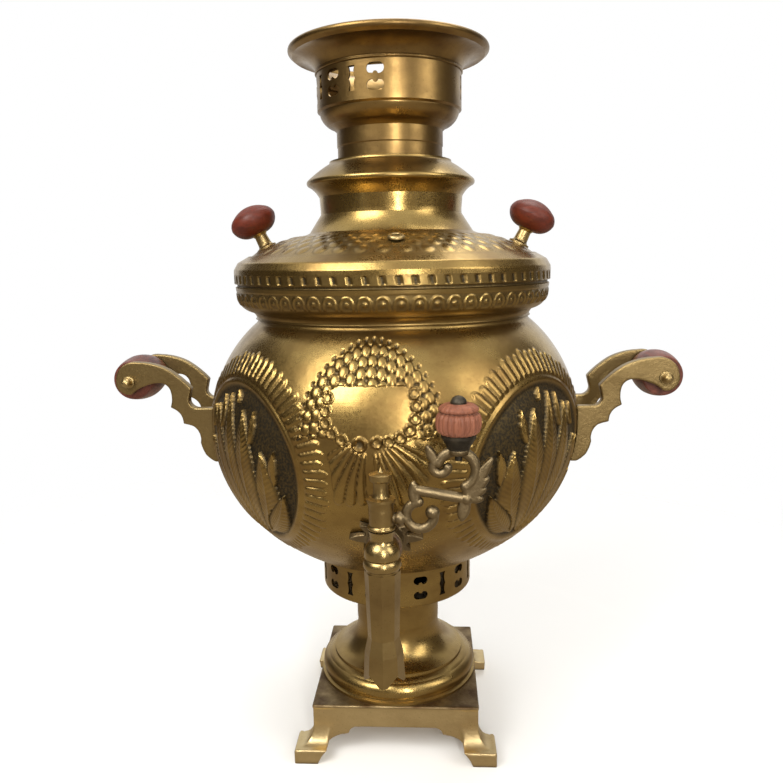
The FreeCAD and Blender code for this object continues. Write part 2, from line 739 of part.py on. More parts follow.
def steam_vent():
    eyelet = turned([
        (VENT_HOLE_R, -3.2),
        (VENT_HOLE_R + 0.8, -3.2),
        (VENT_HOLE_R + 0.8, 0.75),
        (VENT_R, 0.75),
        (VENT_R - 0.9, 2.6, 0.3),
        (VENT_HOLE_R + 0.8, 2.9),
        (VENT_HOLE_R, 2.2, 0.2),
    ])
    return on_vent(eyelet)


def lid_stem(side):
    top = LID_STEM_HEIGHT
    stem = turned([
        (0, -2.0),
        (LID_STEM_R + 2.4, -2.0),
        (LID_STEM_R + 2.4, 2.0),
        (LID_STEM_R, 4.2, -0.6),
        (LID_STEM_R - 0.4, top - 1.6),
        (LID_STEM_R + 0.8, top),
        (LID_SCREW_R, top),
        (LID_SCREW_R, top + LID_KNOB_HEIGHT - 5.0),
        (0, top + LID_KNOB_HEIGHT - 5.0),
    ])
    seated = lean(stem, side).cut(lid_envelope(SEAT))
    return seated.fuse(lean(rod(LID_SCREW_R, Vector(0, 0, -9.0), Vector(0, 0, 2.0)), side))


def lid_knob(side):
    low = LID_STEM_HEIGHT
    top = low + LID_KNOB_HEIGHT
    bore = LID_SCREW_R + RUN
    waist = low + LID_KNOB_HEIGHT * 0.46
    crest_r = LID_KNOB_R * 0.72
    crest = LID_KNOB_HEIGHT * 0.19
    knob = turned([
        (bore, low),
        (6.4, low),
        (LID_KNOB_R, waist, 2.4),
        (crest_r, top - crest, 1.1),
        (0, top, cap(crest_r, crest)),
        (0, top - 4.5),
        (bore, top - 4.5),
    ])
    return lean(knob, side)


def lid_nut(side):
    nut = hexagon(LID_NUT_R, -5.4, -1.95)
    return lean(nut.cut(rod(LID_SCREW_R + RUN, Vector(0, 0, -7), Vector(0, 0, 0))), side)


def hexagon(radius, low, high):
    steps = [on_arc((0, 0), radius, 60 * i) for i in range(6)]
    return plate(steps, level, low, high)


# Crown

def crown_socket():
    t = CROWN_WALL
    bore = TUBE_TOP_R + LIFT
    bend = RIM_SEAT_Z + SOCKET_SLEEVE
    return turned([
        (bore, RIM_SEAT_Z),
        (CROWN_NECK_R, RIM_SEAT_Z),
        (CROWN_NECK_R, bend),
        (CROWN_NECK_R + 5.3, bend + 3.7, -0.5),
        (GALLERY_R - 1.7, GALLERY_LOW - 2.0, 0.9),
        (GALLERY_R - 1.6, GALLERY_LOW - 1.2),
        (GALLERY_R, GALLERY_LOW),
        (GALLERY_R - 3.6, GALLERY_LOW),
        (GALLERY_R - 3.6, GALLERY_LOW - 1.6),
        (CROWN_NECK_R + 4.5, bend + 4.9, -0.9),
        (CROWN_NECK_R - t, bend + 1.4),
        (bore, bend - 0.4),
    ])


def crown_gallery():
    inner = GALLERY_R - CROWN_WALL
    wall = turned([
        (inner, GALLERY_LOW),
        (GALLERY_R, GALLERY_LOW),
        (GALLERY_R, GALLERY_TOP),
        (inner, GALLERY_TOP),
    ])
    middle = (GALLERY_LOW + GALLERY_TOP) / 2 + 1.0
    motifs = []
    for group in (0, 180):
        for i in range(CROWN_REPEATS):
            at = group - 7.0 - i * CROWN_PITCH
            motifs.append((kidney(11.0, 6.6, False), at, middle + 4.9))
            motifs.append((kidney(11.0, 6.6, True), at, middle - 4.9))
            motifs.append((scalloped_slot(5.0, 15.0), at - CROWN_PITCH / 2, middle))
    return pierced(wall, GALLERY_R, motifs)


def crown_rim():
    t = CROWN_WALL
    inner = GALLERY_R - t
    low = GALLERY_TOP
    return turned([
        (inner - t, low - 3.5),
        (inner - SEAT, low - 3.5),
        (inner - SEAT, low),
        (GALLERY_R + 0.4, low),
        (GALLERY_R + 0.9, low + 1.0, 0.3),
        (GALLERY_R + 0.4, low + 2.2, 0.3),
        (RIM_R - 2.6, CROWN_TOP - 5.4, -3.0),
        (RIM_R - 0.7, CROWN_TOP - 3.9),
        (RIM_R - 0.9, CROWN_TOP, 1.0),
        (RIM_R - 3.6, CROWN_TOP),
        (RIM_R - 3.8, CROWN_TOP - 3.6),
        (inner - t, low + 1.8, 2.8),
    ])


# Tap

def tap_flange():
    """Leafy rosette whose back follows the tank, with a boss that takes the tap's shank."""
    surface = tank_r(TAP_Z)
    slope = math.degrees(math.asin((BELLY_Z - TAP_Z) / BELLY_ARC_R))
    leaves = []
    for angle, length, width in ROSETTE:
        leaf = plate([(0, 0), (length, 0, width / 2), (0, 0, width / 2)], level, -9.0, 2.6)
        leaves.append(spin(leaf, angle))
    rosette = fused(leaves + [rod(TAP_BOSS_R + 2.0, Vector(0, 0, -9.0), Vector(0, 0, 3.6))])
    rosette.rotate(ORIGIN, Vector(1, 0, 0), 90 + slope)
    rosette.translate(Vector(0, -surface, TAP_Z))
    boss = rod(TAP_BOSS_R, Vector(0, -surface + 8, TAP_Z), Vector(0, -TAP_BOSS_END, TAP_Z))
    flange = rosette.fuse(boss).cut(tank_envelope(SEAT))
    return flange.cut(rod(TAP_SHANK_R + RUN, Vector(0, -TAP_BOSS_END - 1, TAP_Z), Vector(0, -BODY_R * 0.7, TAP_Z)))


ROSETTE = (
    (0, 22.0, 7.0),
    (38, 19.0, 6.0),
    (90, 15.0, 7.0),
    (142, 19.0, 6.0),
    (180, 22.0, 7.0),
    (218, 18.0, 6.0),
    (270, 15.0, 7.0),
    (322, 18.0, 6.0),
)


def tank_r(height):
    """Radius of the tank's outer surface below the belly line."""
    return BELLY_CENTRE[0] + math.sqrt(BELLY_ARC_R ** 2 - (BELLY_Z - height) ** 2)


def tap_washer():
    ring = rod(TAP_BOSS_R - 0.6, Vector(0, -TAP_BOSS_END, TAP_Z), Vector(0, -TAP_BOSS_END - WASHER_THICK, TAP_Z))
    return ring.cut(rod(TAP_SHANK_R + RUN, Vector(0, -TAP_BOSS_END + 1, TAP_Z), Vector(0, -TAP_REACH, TAP_Z)))


def octagon(radius, height):
    points = [Vector(radius * math.sin(i * math.pi / 4), -radius * math.cos(i * math.pi / 4), height)
              for i in range(9)]
    return Part.makePolygon(points)


def tap_body():
    top = TAP_BARREL_TOP
    spout_top = TAP_Z - 4.4
    barrel = turned([
        (0, spout_top - 2.0),
        (TAP_BARREL_R - 1.2, spout_top - 2.0),
        (TAP_BARREL_R - 1.2, spout_top),
        (TAP_BARREL_R - 1.2, TAP_Z + 1.6, 1.3),
        (TAP_BARREL_R - 0.6, TAP_Z + 2.6),
        (TAP_BARREL_R - 0.6, TAP_Z + 3.6),
        (7.0, top - 7.0, 0.9),
        (6.6, top - 3.0, -0.5),
        (7.6, top, -0.2),
        (0, top),
    ])
    spout = Part.makeLoft([octagon(9.9, spout_top - 1.0), octagon(8.7, TAP_SPOUT_FLARE)], True, True)
    tulip = Part.makeLoft([
        octagon(8.7, TAP_SPOUT_FLARE),
        octagon(10.6, TAP_SPOUT_FLARE - 9.0),
        octagon(11.6, TAP_SPOUT_END),
    ], True, True)
    notch = plate([(-7.0, TAP_SPOUT_END - 1), (7.0, TAP_SPOUT_END - 1), (0, TAP_SPOUT_END + 6.2)], upright, -14, 14)
    shank_end = TAP_REACH - tank_r(TAP_Z) + 6.0
    shank = rod(TAP_SHANK_R, Vector(0, 0, TAP_Z), Vector(0, shank_end, TAP_Z))
    shoulder = rod(TAP_BARREL_R - 1.6, Vector(0, 0, TAP_Z), Vector(0, TAP_SHOULDER, TAP_Z))
    whole = fused([barrel, spout, tulip, shank, shoulder])
    whole = whole.cut(spin(notch, 45)).cut(spin(notch, -45))
    seat = turned([
        (0, PLUG_END_Z),
        (PLUG_END_R + RUN, PLUG_END_Z),
        (PLUG_TOP_R + RUN, top + 1.0),
        (0, top + 1.0),
    ])
    outlet = rod(OUTLET_R, Vector(0, 0, TAP_SPOUT_END - 1), Vector(0, 0, PLUG_END_Z - 1.5))
    throat = rod(PLUG_PORT_R + 0.3, Vector(0, 0, PLUG_END_Z - 2.5), Vector(0, 0, PLUG_END_Z + 1))
    bore = rod(TAP_BORE_R, Vector(0, 0, TAP_Z), Vector(0, shank_end + 1, TAP_Z))
    whole = whole.cut(Part.makeCompound([outlet, throat, bore])).cut(seat)
    whole.translate(TAP_AXIS)
    return whole


def tap_plug():
    """Tapered plug with a side port and an open lower end, and its turned head and finial."""
    top = TAP_BARREL_TOP
    head = top + PLUG_SLIP
    tapered = PLUG_TOP_R - 0.01
    plug = turned([
        (0, PLUG_END_Z + PLUG_SLIP),
        (PLUG_END_R + 0.003, PLUG_END_Z + PLUG_SLIP),
        (tapered, top - 0.2),
        (tapered, head),
        (7.2, head),
        (7.4, head + 1.6, 0.3),
        (6.6, head + 3.2, -0.3),
        (6.9, head + 10.6),
        (7.9, head + 15.9, -0.4),
        (7.9, head + 17.2),
        (4.9, head + 17.9),
        (4.1, head + 21.6, -0.2),
        (4.3, head + 26.4, -0.2),
        (6.0, head + 27.2, 0.3),
        (6.2, head + 30.2),
        (2.0, head + 31.4, 0.2),
        (0.9, head + 32.6, -0.2),
        (0, head + 34.2),
    ])
    drain = rod(PLUG_PORT_R, Vector(0, 0, PLUG_END_Z), Vector(0, 0, TAP_Z + 1.5))
    port = rod(PLUG_PORT_R, Vector(0, 0, TAP_Z), Vector(-9, 0, TAP_Z))
    socket = rod(LEVER_BAR_R + RUN, Vector(2.0, 0, LEVER_ROOT_Z), Vector(12, 0, LEVER_ROOT_Z))
    plug = plug.cut(drain).cut(port).cut(socket)
    plug.translate(TAP_AXIS)
    return plug


def scroll(centre_x, centre_z, radius, thick, start, sweep):
    """Part of a ring in the lever's plane, from start degrees over sweep degrees, with rounded ends."""
    ring = Part.makeTorus(radius, thick, ORIGIN, UP, 0, 360, sweep)
    ring = spin(ring, start)
    ends = []
    for angle in (start, start + sweep):
        x, y = on_arc((0, 0), radius, angle)
        ends.append(Part.makeSphere(thick * 1.04, Vector(x, y, 0)))
    ring = fused([ring] + ends)
    ring.rotate(ORIGIN, Vector(1, 0, 0), 90)
    ring.translate(Vector(centre_x, 0, centre_z))
    return ring


def lever_leaf(root, tip, width, thick):
    """A cast leaf, pointed at both ends, lying in the lever's plane."""
    steps = [root, tip + (width / 2,), root + (width / 2,)]
    return plate(steps, upright, -thick / 2, thick / 2)


def key_lever():
    """Cast scrolled lever, drawn from its root: pin, lower curl, bar, upper curl and a spray of leaves."""
    reach = LEVER_REACH
    rise = LEVER_RISE
    pin = rod(LEVER_BAR_R, Vector(3.0, 0, 0), Vector(13.6, 0, 0))
    root_ball = Part.makeSphere(2.9, Vector(9.9, 0, 0))
    low = scroll(20.6, 1.6, 7.4, 1.75, 95, 285)
    curl_end = Part.makeSphere(2.9, Vector(27.2, 0, 3.2))
    riser = rod(1.7, Vector(18.2, 0, 8.4), Vector(17.6, 0, 17.0))
    riser_tip = lever_leaf((18.2, 7.6), (17.2, 20.0), 4.6, 3.4)
    bar = rod(LEVER_BAR_R, Vector(17.8, 0, 15.6), Vector(reach + 4.6, 0, rise - 27.0))
    bar_end = Part.makeSphere(2.6, Vector(reach + 4.2, 0, rise - 26.8))
    high = scroll(reach - 1.2, rise - 11.2, 10.2, 1.9, -62, 220)
    hook = scroll(reach - 9.6, rise - 9.2, 4.0, 1.6, 150, 200)
    link = rod(1.7, Vector(reach - 10.4, 0, rise - 6.7), Vector(reach - 13.1, 0, rise - 7.2))
    tip = lever_leaf((reach - 11.4, rise - 8.6), (reach - 16.4, rise + 1.8), 3.6, 3.0)
    pad = rod(4.6, Vector(reach, 0, rise - 2.0), Vector(reach, 0, rise))
    tie = rod(1.7, Vector(reach + 4.0, 0, rise - 20.6), Vector(reach + 4.6, 0, rise - 26.8))
    spray = (reach + 4.0, rise - 25.6)
    leaves = [lever_leaf(spray, (reach + x, rise + z), width, 2.8) for x, z, width in LEVER_LEAVES]
    bars = [pin, root_ball, low, curl_end, riser, riser_tip, bar, bar_end]
    lever = fused(bars + [high, hook, link, tip, pad, tie] + leaves)
    lever = lever.cut(rod(KEY_SCREW_R + RUN, Vector(reach, 0, rise - 6.6), Vector(reach, 0, rise + 1.0)))
    lever = lever.cut(rod(CUP_FOOT_R + 1.0, Vector(reach, 0, rise), Vector(reach, 0, rise + CUP_HEIGHT)))
    lever.translate(TAP_AXIS + UP * LEVER_ROOT_Z)
    return lever


LEVER_LEAVES = (
    (17.2, -5.0, 4.4),
    (15.4, -15.2, 4.0),
    (13.8, -21.4, 3.8),
    (12.2, -27.0, 3.8),
    (9.6, -32.4, 3.8),
    (1.4, -38.4, 5.0),
)


def key_socket():
    cup = turned([
        (KEY_SCREW_R + RUN, SOCKET_LOW),
        (CUP_FOOT_R, SOCKET_LOW),
        (CUP_FOOT_R + 0.6, SOCKET_LOW + 1.0, 0.2),
        (CUP_R, KNOB_LOW - 1.6),
        (CUP_R, KNOB_LOW),
        (KEY_SCREW_R + RUN, KNOB_LOW),
    ])
    cup.translate(Vector(LEVER_REACH, -TAP_REACH, 0))
    return cup


def key_screw():
    """Long screw through lever, socket and knob, with a domed cap on top."""
    top = KNOB_LOW + KNOB_HEIGHT
    low = SOCKET_LOW - 6.0
    screw = turned([
        (0, low),
        (KEY_SCREW_R, low),
        (KEY_SCREW_R, top),
        (4.3, top),
        (4.3, top + 1.0),
        (0, top + 4.2, cap(4.3, 3.2)),
    ])
    screw.translate(Vector(LEVER_REACH, -TAP_REACH, 0))
    return screw


def key_knob():
    low = KNOB_LOW
    knob = turned([
        (KEY_SCREW_R + RUN, low),
        (CUP_R - 0.4, low),
        (KNOB_R - 0.2, low + 8.6, 0.5),
        (KNOB_R - 0.9, low + 11.0, 0.5),
        (KNOB_R - 3.2, low + 11.4),
        (KNOB_R - 3.2, low + 12.3),
        (KNOB_R - 2.2, low + 12.6),
        (KNOB_R - 2.4, low + 15.0, 0.3),
        (KNOB_R / 2, low + KNOB_HEIGHT, 0.5),
        (KEY_SCREW_R + RUN, low + KNOB_HEIGHT),
    ])
    knob.translate(Vector(LEVER_REACH, -TAP_REACH, 0))
    return knob


# Carrying handles

BRACKET_FOOT_TOP = (          # from the tank's widest line
    (-18.5, 11.4),
    (9.0, 11.4),
    (14.7, 17.0, 1.6),
    (12.6, 25.5),
)
BRACKET_ARM = (               # from the grip's axis
    (-27.6, 8.6, -0.8),
    (-7.0, 13.7, -1.2),
    (9.2, 1.5, -4.6),
    (-1.0, -9.1, -4.0),
    (-11.0, -3.3, 0.8),
    (-20.5, -1.1, 0.5),
    (-29.4, -7.9, 2.4),
)
BRACKET_FOOT = (              # from the tank's widest line
    (28.1, 12.0, 0.8),
    (22.1, 8.2, 0.4),
    (19.7, 0.2, 0.9),
    (12.1, -1.8, 0.3),
    (8.1, -13.4, 1.8),
    (4.7, -22.4, -0.4),
    (-1.7, -27.4, -0.4),
    (-18.5, -27.4),
)


def moved(steps, x, z):
    return [(x + step[0], z + step[1]) + step[2:] for step in steps]


def bracket_outline():
    arm = moved(BRACKET_ARM, ROD_X, ROD_Z)
    return moved(BRACKET_FOOT_TOP, BODY_R, BELLY_Z) + arm + moved(BRACKET_FOOT, BODY_R, BELLY_Z)


def handle_bracket(side, end):
    """Cast scrolled bracket; side is +1 right or -1 left, end is -1 front or +1 rear."""
    low = BRACKET_INSIDE if end > 0 else -BRACKET_INSIDE - BRACKET_THICK
    cast = plate(bracket_outline(), upright, low, low + BRACKET_THICK)
    cast = cast.cut(tank_envelope(SEAT))
    cast = cast.cut(rod(ROD_R + RUN, Vector(ROD_X, low - 1, ROD_Z), Vector(ROD_X, low + BRACKET_THICK + 1, ROD_Z)))
    for height in RIVET_HEIGHTS:
        cast = cast.cut(rivet_hole(1, end, height))
    return cast if side > 0 else cast.mirror(ORIGIN, Vector(1, 0, 0))


def rivet_y(end):
    return end * (BRACKET_INSIDE + BRACKET_THICK / 2)


def rivet_places():
    return [(side, end, z) for side in (1, -1) for end in (-1, 1) for z in RIVET_HEIGHTS]


def rivet_hole(side, end, height):
    y = rivet_y(end)
    hole = rod(RIVET_R + RUN, Vector(BODY_R * 0.8, y, height), Vector(RIVET_TIP + 0.3, y, height))
    return hole if side > 0 else hole.mirror(ORIGIN, Vector(1, 0, 0))


def handle_rivet(side, end, height):
    """Rivet from inside the tank into the bracket's foot; its head lies against the tank's wall."""
    y = rivet_y(end)
    inside = inner_x(height, y)
    shank = rod(RIVET_R, Vector(inside - 2.0, y, height), Vector(RIVET_TIP, y, height))
    head = rod(RIVET_HEAD_R, Vector(inside - 2.0, y, height), Vector(inside - 0.5, y, height))
    rivet = head.fuse(shank)
    return rivet if side > 0 else rivet.mirror(ORIGIN, Vector(1, 0, 0))


def inner_x(height, y):
    """Least X of the tank's inner wall over a rivet head at this height and depth."""
    worst = height - RIVET_HEAD_R if height < BELLY_Z else height + RIVET_HEAD_R
    centre, radius = (BELLY_CENTRE, BELLY_ARC_R) if worst < BELLY_Z else (SHOULDER_CENTRE, SHOULDER_ARC_R)
    r = centre[0] + math.sqrt((radius - BODY_WALL) ** 2 - (worst - BELLY_Z) ** 2)
    return math.sqrt(r ** 2 - (abs(y) + RIVET_HEAD_R) ** 2)


def along_y(shape, side):
    """Turn a shape drawn on the Z axis onto the handle's rod."""
    copy = shape.copy()
    copy.rotate(ORIGIN, Vector(1, 0, 0), 90)
    copy.translate(Vector(side * ROD_X, 0, ROD_Z))
    return copy


def handle_grip(side):
    half = GRIP_LENGTH / 2
    grip = turned([
        (ROD_R + RUN, -half),
        (GRIP_END_R - 1.0, -half),
        (GRIP_END_R, -half + 1.2, 0.3),
        (GRIP_R, 0, 0.45),
        (GRIP_END_R, half - 1.2, 0.45),
        (GRIP_END_R - 1.0, half, 0.3),
        (ROD_R + RUN, half),
    ])
    return along_y(grip, side)


def handle_rod(side):
    """Rod through both brackets and the grip, with a ball nut at each end."""
    half = BRACKET_INSIDE + BRACKET_THICK
    shaft = rod(ROD_R, Vector(0, 0, -half - 2.0), Vector(0, 0, half + 2.0))
    return along_y(shaft, side)


def ball_nuts(side):
    half = BRACKET_INSIDE + BRACKET_THICK
    nut = turned([
        (ROD_R + RUN, half),
        (4.4, half),
        (4.4, half + 1.0),
        (2.9, half + 1.8, -0.2),
        (BALL_NUT_R, half + 4.2, 0.7),
        (0, half + 4.2 + BALL_NUT_R, cap(BALL_NUT_R, BALL_NUT_R)),
        (0, half + 2.4),
        (ROD_R + RUN, half + 2.4),
    ])
    other = nut.mirror(ORIGIN, UP)
    return [along_y(nut, side), along_y(other, side)]


def main():
    os.makedirs("parts", exist_ok=True)
    write("base_plate", base_plate())
    write("stand_screws", *[stand_screw(45 + 90 * i) for i in range(4)])
    write("stand", stand())
    write("vent_ring", vent_ring())
    for name, band in zip(("tank_pan", "tank_bowl", "tank_shoulder", "tank_neck"), tank_bands()):
        write(name, band)
    write("collar_ring", collar_ring())
    write("fire_tube", fire_tube())
    write("tube_collar", tube_collar())
    write("fire_grate", fire_grate())
    write("lid_dome", lid_dome())
    write("lid_shoulder", lid_shoulder())
    write("steam_vent", steam_vent())
    write("crown_socket", crown_socket())
    write("crown_gallery", crown_gallery())
    write("crown_rim", crown_rim())
    write("tap_flange", tap_flange())
    write("tap_washer", tap_washer())
    write("tap_body", tap_body())
    write("tap_plug", tap_plug())
    write("key_lever", key_lever())
    write("key_socket", key_socket())
    write("key_knob", key_knob())
    write("key_screw", key_screw())
    for side, word in ((1, "right"), (-1, "left")):
        write("lid_stem_" + word, lid_stem(side))
        write("lid_knob_" + word, lid_knob(side))
        write("lid_nut_" + word, lid_nut(side))
        for end, place in ((-1, "front"), (1, "rear")):
            write("bracket_" + word + "_" + place, handle_bracket(side, end))
        write("grip_" + word, handle_grip(side))
        write("grip_rod_" + word, handle_rod(side))
        write("ball_nuts_" + word, *ball_nuts(side))
    write("handle_rivets", *[handle_rivet(*place) for place in rivet_places()])


main()
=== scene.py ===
"""Looks of the charcoal samovar: metals, woods, raised ornament, cast pieces, floor, light and camera.

The scene is in metres, in the CAD frame. Profiles and ornament are in millimetres and scaled by MM.
Azimuth 0 is the front, where the tap is, and grows towards +X. A profile is a line of (radius, height).
"""

import math

import bmesh
import bpy
import numpy as np
from mathutils import Matrix, Vector


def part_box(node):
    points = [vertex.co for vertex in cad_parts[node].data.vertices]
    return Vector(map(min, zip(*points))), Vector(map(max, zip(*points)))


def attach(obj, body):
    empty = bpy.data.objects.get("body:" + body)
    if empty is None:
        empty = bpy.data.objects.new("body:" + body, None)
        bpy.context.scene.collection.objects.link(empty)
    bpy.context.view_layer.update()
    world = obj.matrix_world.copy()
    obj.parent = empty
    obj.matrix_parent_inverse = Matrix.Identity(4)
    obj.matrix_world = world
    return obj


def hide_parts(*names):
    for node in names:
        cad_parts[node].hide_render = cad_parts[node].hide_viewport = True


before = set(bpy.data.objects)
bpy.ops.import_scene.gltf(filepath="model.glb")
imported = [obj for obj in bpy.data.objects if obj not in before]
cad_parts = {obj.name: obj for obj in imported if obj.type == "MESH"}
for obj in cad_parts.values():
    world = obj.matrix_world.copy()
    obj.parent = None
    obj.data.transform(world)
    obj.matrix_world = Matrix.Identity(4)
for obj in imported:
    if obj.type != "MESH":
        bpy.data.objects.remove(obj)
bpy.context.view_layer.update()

MM = 0.001
PICTURE = 783.0                         # the photograph's side in pixels
FOCAL_PX = 745.0                        # the lens, in those pixels
EYE_DISTANCE = 530 * MM                 # from the tank's axis, level
EYE_HEIGHT = 345 * MM
EYE_AZIMUTH = math.radians(3.0)
HORIZON_ROW = 258.0
AXIS_COLUMN = 394.2                     # where the tank's axis crosses the middle row
ROLL = math.radians(1.0)

AXIS_Y = sum(corner.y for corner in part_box("stand")) / 2
TANK_R = 128.5
BELLY_Z = 232.0
SHOULDER_ARC_R = 91.7
BELLY_ARC_R = 94.0
BELLY_ARC_TURN = 42.3
HIP_ARC_R = 135.0
TANK_WALL = 1.2

SHARP_NODE_EDGE = 25.0                  # degrees; flatter edges of the CAD nodes are shaded smooth
SHARP_EDGE = 38.0                       # the same, for what is modelled here


# Placing points round the tank's axis

def around(radius, azimuth, height):
    """Points, in metres, at these radii and heights in millimetres and azimuths in degrees."""
    turn = np.radians(azimuth)
    x = radius * np.sin(turn) * MM
    y = AXIS_Y - radius * np.cos(turn) * MM
    return np.stack([x, y, np.broadcast_to(height * MM, x.shape)], -1)


def smooth(value, low, high):
    t = np.clip((value - low) / (high - low), 0, 1)
    return t * t * (3 - 2 * t)


def hump(value, half_width):
    """Rounded ridge of height 1 at value 0 that ends at half_width."""
    t = np.clip(np.abs(value) / half_width, 0, 1)
    return (1 - t * t) ** 1.5


def arc(centre, radius, start, end, count):
    """Points (r, z) on an arc, from start to end degrees above the level direction outwards."""
    turn = np.radians(np.linspace(start, end, count))
    return np.stack([centre[0] + radius * np.cos(turn), centre[1] + radius * np.sin(turn)], -1)


def evenly(points, count):
    """The same line through evenly spaced points."""
    steps = np.linalg.norm(np.diff(points, axis=0), axis=1)
    reach = np.concatenate([[0], np.cumsum(steps)])
    at = np.linspace(0, reach[-1], count)
    return np.stack([np.interp(at, reach, points[:, k]) for k in range(2)], -1)


def outward(points):
    """Unit normals, to the right of the way the line of points runs."""
    way = np.gradient(points, axis=0)
    normal = np.stack([way[:, 1], -way[:, 0]], -1)
    return normal / np.linalg.norm(normal, axis=1, keepdims=True)


# Meshes

def mesh_piece(name, verts, faces, body, material, crease=SHARP_EDGE):
    """A mesh with outward faces, shaded smooth up to the crease angle, that rides on a body."""
    mesh = bpy.data.meshes.new(name)
    mesh.from_pydata([tuple(v) for v in verts], [], faces)
    piece = bpy.data.objects.new(name, mesh)
    bpy.context.scene.collection.objects.link(piece)
    work = bmesh.new()
    work.from_mesh(piece.data)
    bmesh.ops.recalc_face_normals(work, faces=work.faces)
    work.to_mesh(piece.data)
    work.free()
    shade(piece, crease)
    piece.data.materials.clear()
    piece.data.materials.append(material)
    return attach(piece, body)


def shade(piece, crease):
    piece.data.shade_smooth()
    piece.data.set_sharp_from_angle(angle=math.radians(crease))


def ring_mesh(name, loop, azimuths, relief, marks, body, material):
    """A turned piece: the closed profile swept over the azimuths, its first points pushed out by relief.

    relief is in millimetres, with a row for each azimuth and a column for each of the profile's first points.
    marks, of the same shape, becomes the mesh attribute that the tank's brass reads as patina.
    """
    rows = relief.shape[1]
    normals = outward(loop)
    normals[:rows] = outward(loop[:rows])
    push = np.zeros((len(azimuths), len(loop)))
    push[:, :rows] = relief
    radius = loop[None, :, 0] + push * normals[None, :, 0]
    height = loop[None, :, 1] + push * normals[None, :, 1]
    verts = around(radius, np.array(azimuths)[:, None], height).reshape(-1, 3)
    count = len(loop)
    faces = []
    last = (len(azimuths) - 1) * count
    for a in range(0, last, count):
        b = a + count
        for k in range(count):
            m = (k + 1) % count
            faces.append((a + k, b + k, b + m, a + m))
    faces.append(tuple(range(count)))
    faces.append(tuple(reversed(range(last, last + count))))
    piece = mesh_piece(name, verts, faces, body, material)
    field = np.zeros((len(azimuths), count), np.float32)
    field[:, :rows] = marks
    patina = piece.data.attributes.new("patina", "FLOAT", "POINT")
    patina.data.foreach_set("value", field.reshape(-1))
    return piece


# Materials

class Surface:
    """One procedural material, with short calls that add a node and return its output."""

    def __init__(self, name):
        self.material = bpy.data.materials.new(name)
        self.material.use_nodes = True
        self.tree = self.material.node_tree
        self.shader = self.tree.nodes["Principled BSDF"]
        self.place = self.tree.nodes.new("ShaderNodeTexCoord").outputs["Object"]

    def node(self, kind, settings=(), **inputs):
        made = self.tree.nodes.new(kind)
        for key, value in dict(settings).items():
            setattr(made, key, value)
        for key, value in inputs.items():
            socket = made.inputs[int(key[1:])] if key[0] == "_" else made.inputs[key.replace("_", " ")]
            self.join(value, socket)
        return made

    def join(self, value, socket):
        if isinstance(value, bpy.types.NodeSocket):
            self.tree.links.new(value, socket)
        else:
            socket.default_value = value

    def set(self, name, value):
        self.join(value, self.shader.inputs[name])

    def noise(self, scale, detail=4.0, stretch=(1, 1, 1), rough=0.55, turn=(0, 0, 0)):
        spread = self.node("ShaderNodeMapping", Vector=self.place, Scale=stretch, Rotation=turn)
        return self.node("ShaderNodeTexNoise", Vector=spread.outputs[0], Scale=scale, Detail=detail,
                         Roughness=rough).outputs["Fac"]

    def band(self, value, low, high, to_low=0.0, to_high=1.0):
        made = self.node("ShaderNodeMapRange", Value=value, _1=low, _2=high, _3=to_low, _4=to_high)
        return made.outputs[0]

    def mix(self, factor, first, second):
        made = self.tree.nodes.new("ShaderNodeMix")
        made.data_type = "RGBA"
        self.join(factor, made.inputs[0])
        for value, socket in ((first, made.inputs[6]), (second, made.inputs[7])):
            self.join(value if isinstance(value, bpy.types.NodeSocket) else (*value, 1.0), socket)
        return made.outputs[2]

    def sum(self, kind, first, second):
        return self.node("ShaderNodeMath", {"operation": kind}, _0=first, _1=second).outputs[0]

    def bump(self, height, distance, strength=1.0, under=None):
        made = self.node("ShaderNodeBump", Height=height, Distance=distance, Strength=strength)
        if under is not None:
            self.tree.links.new(under, made.inputs["Normal"])
        return made.outputs[0]

    def crevice(self, reach):
        """How much shade to paint, from ambient occlusion: 0 in the open, 1 deep in a corner."""
        made = self.node("ShaderNodeAmbientOcclusion", {"samples": 6}, Distance=reach)
        return self.sum("SUBTRACT", 1.0, made.outputs["AO"])


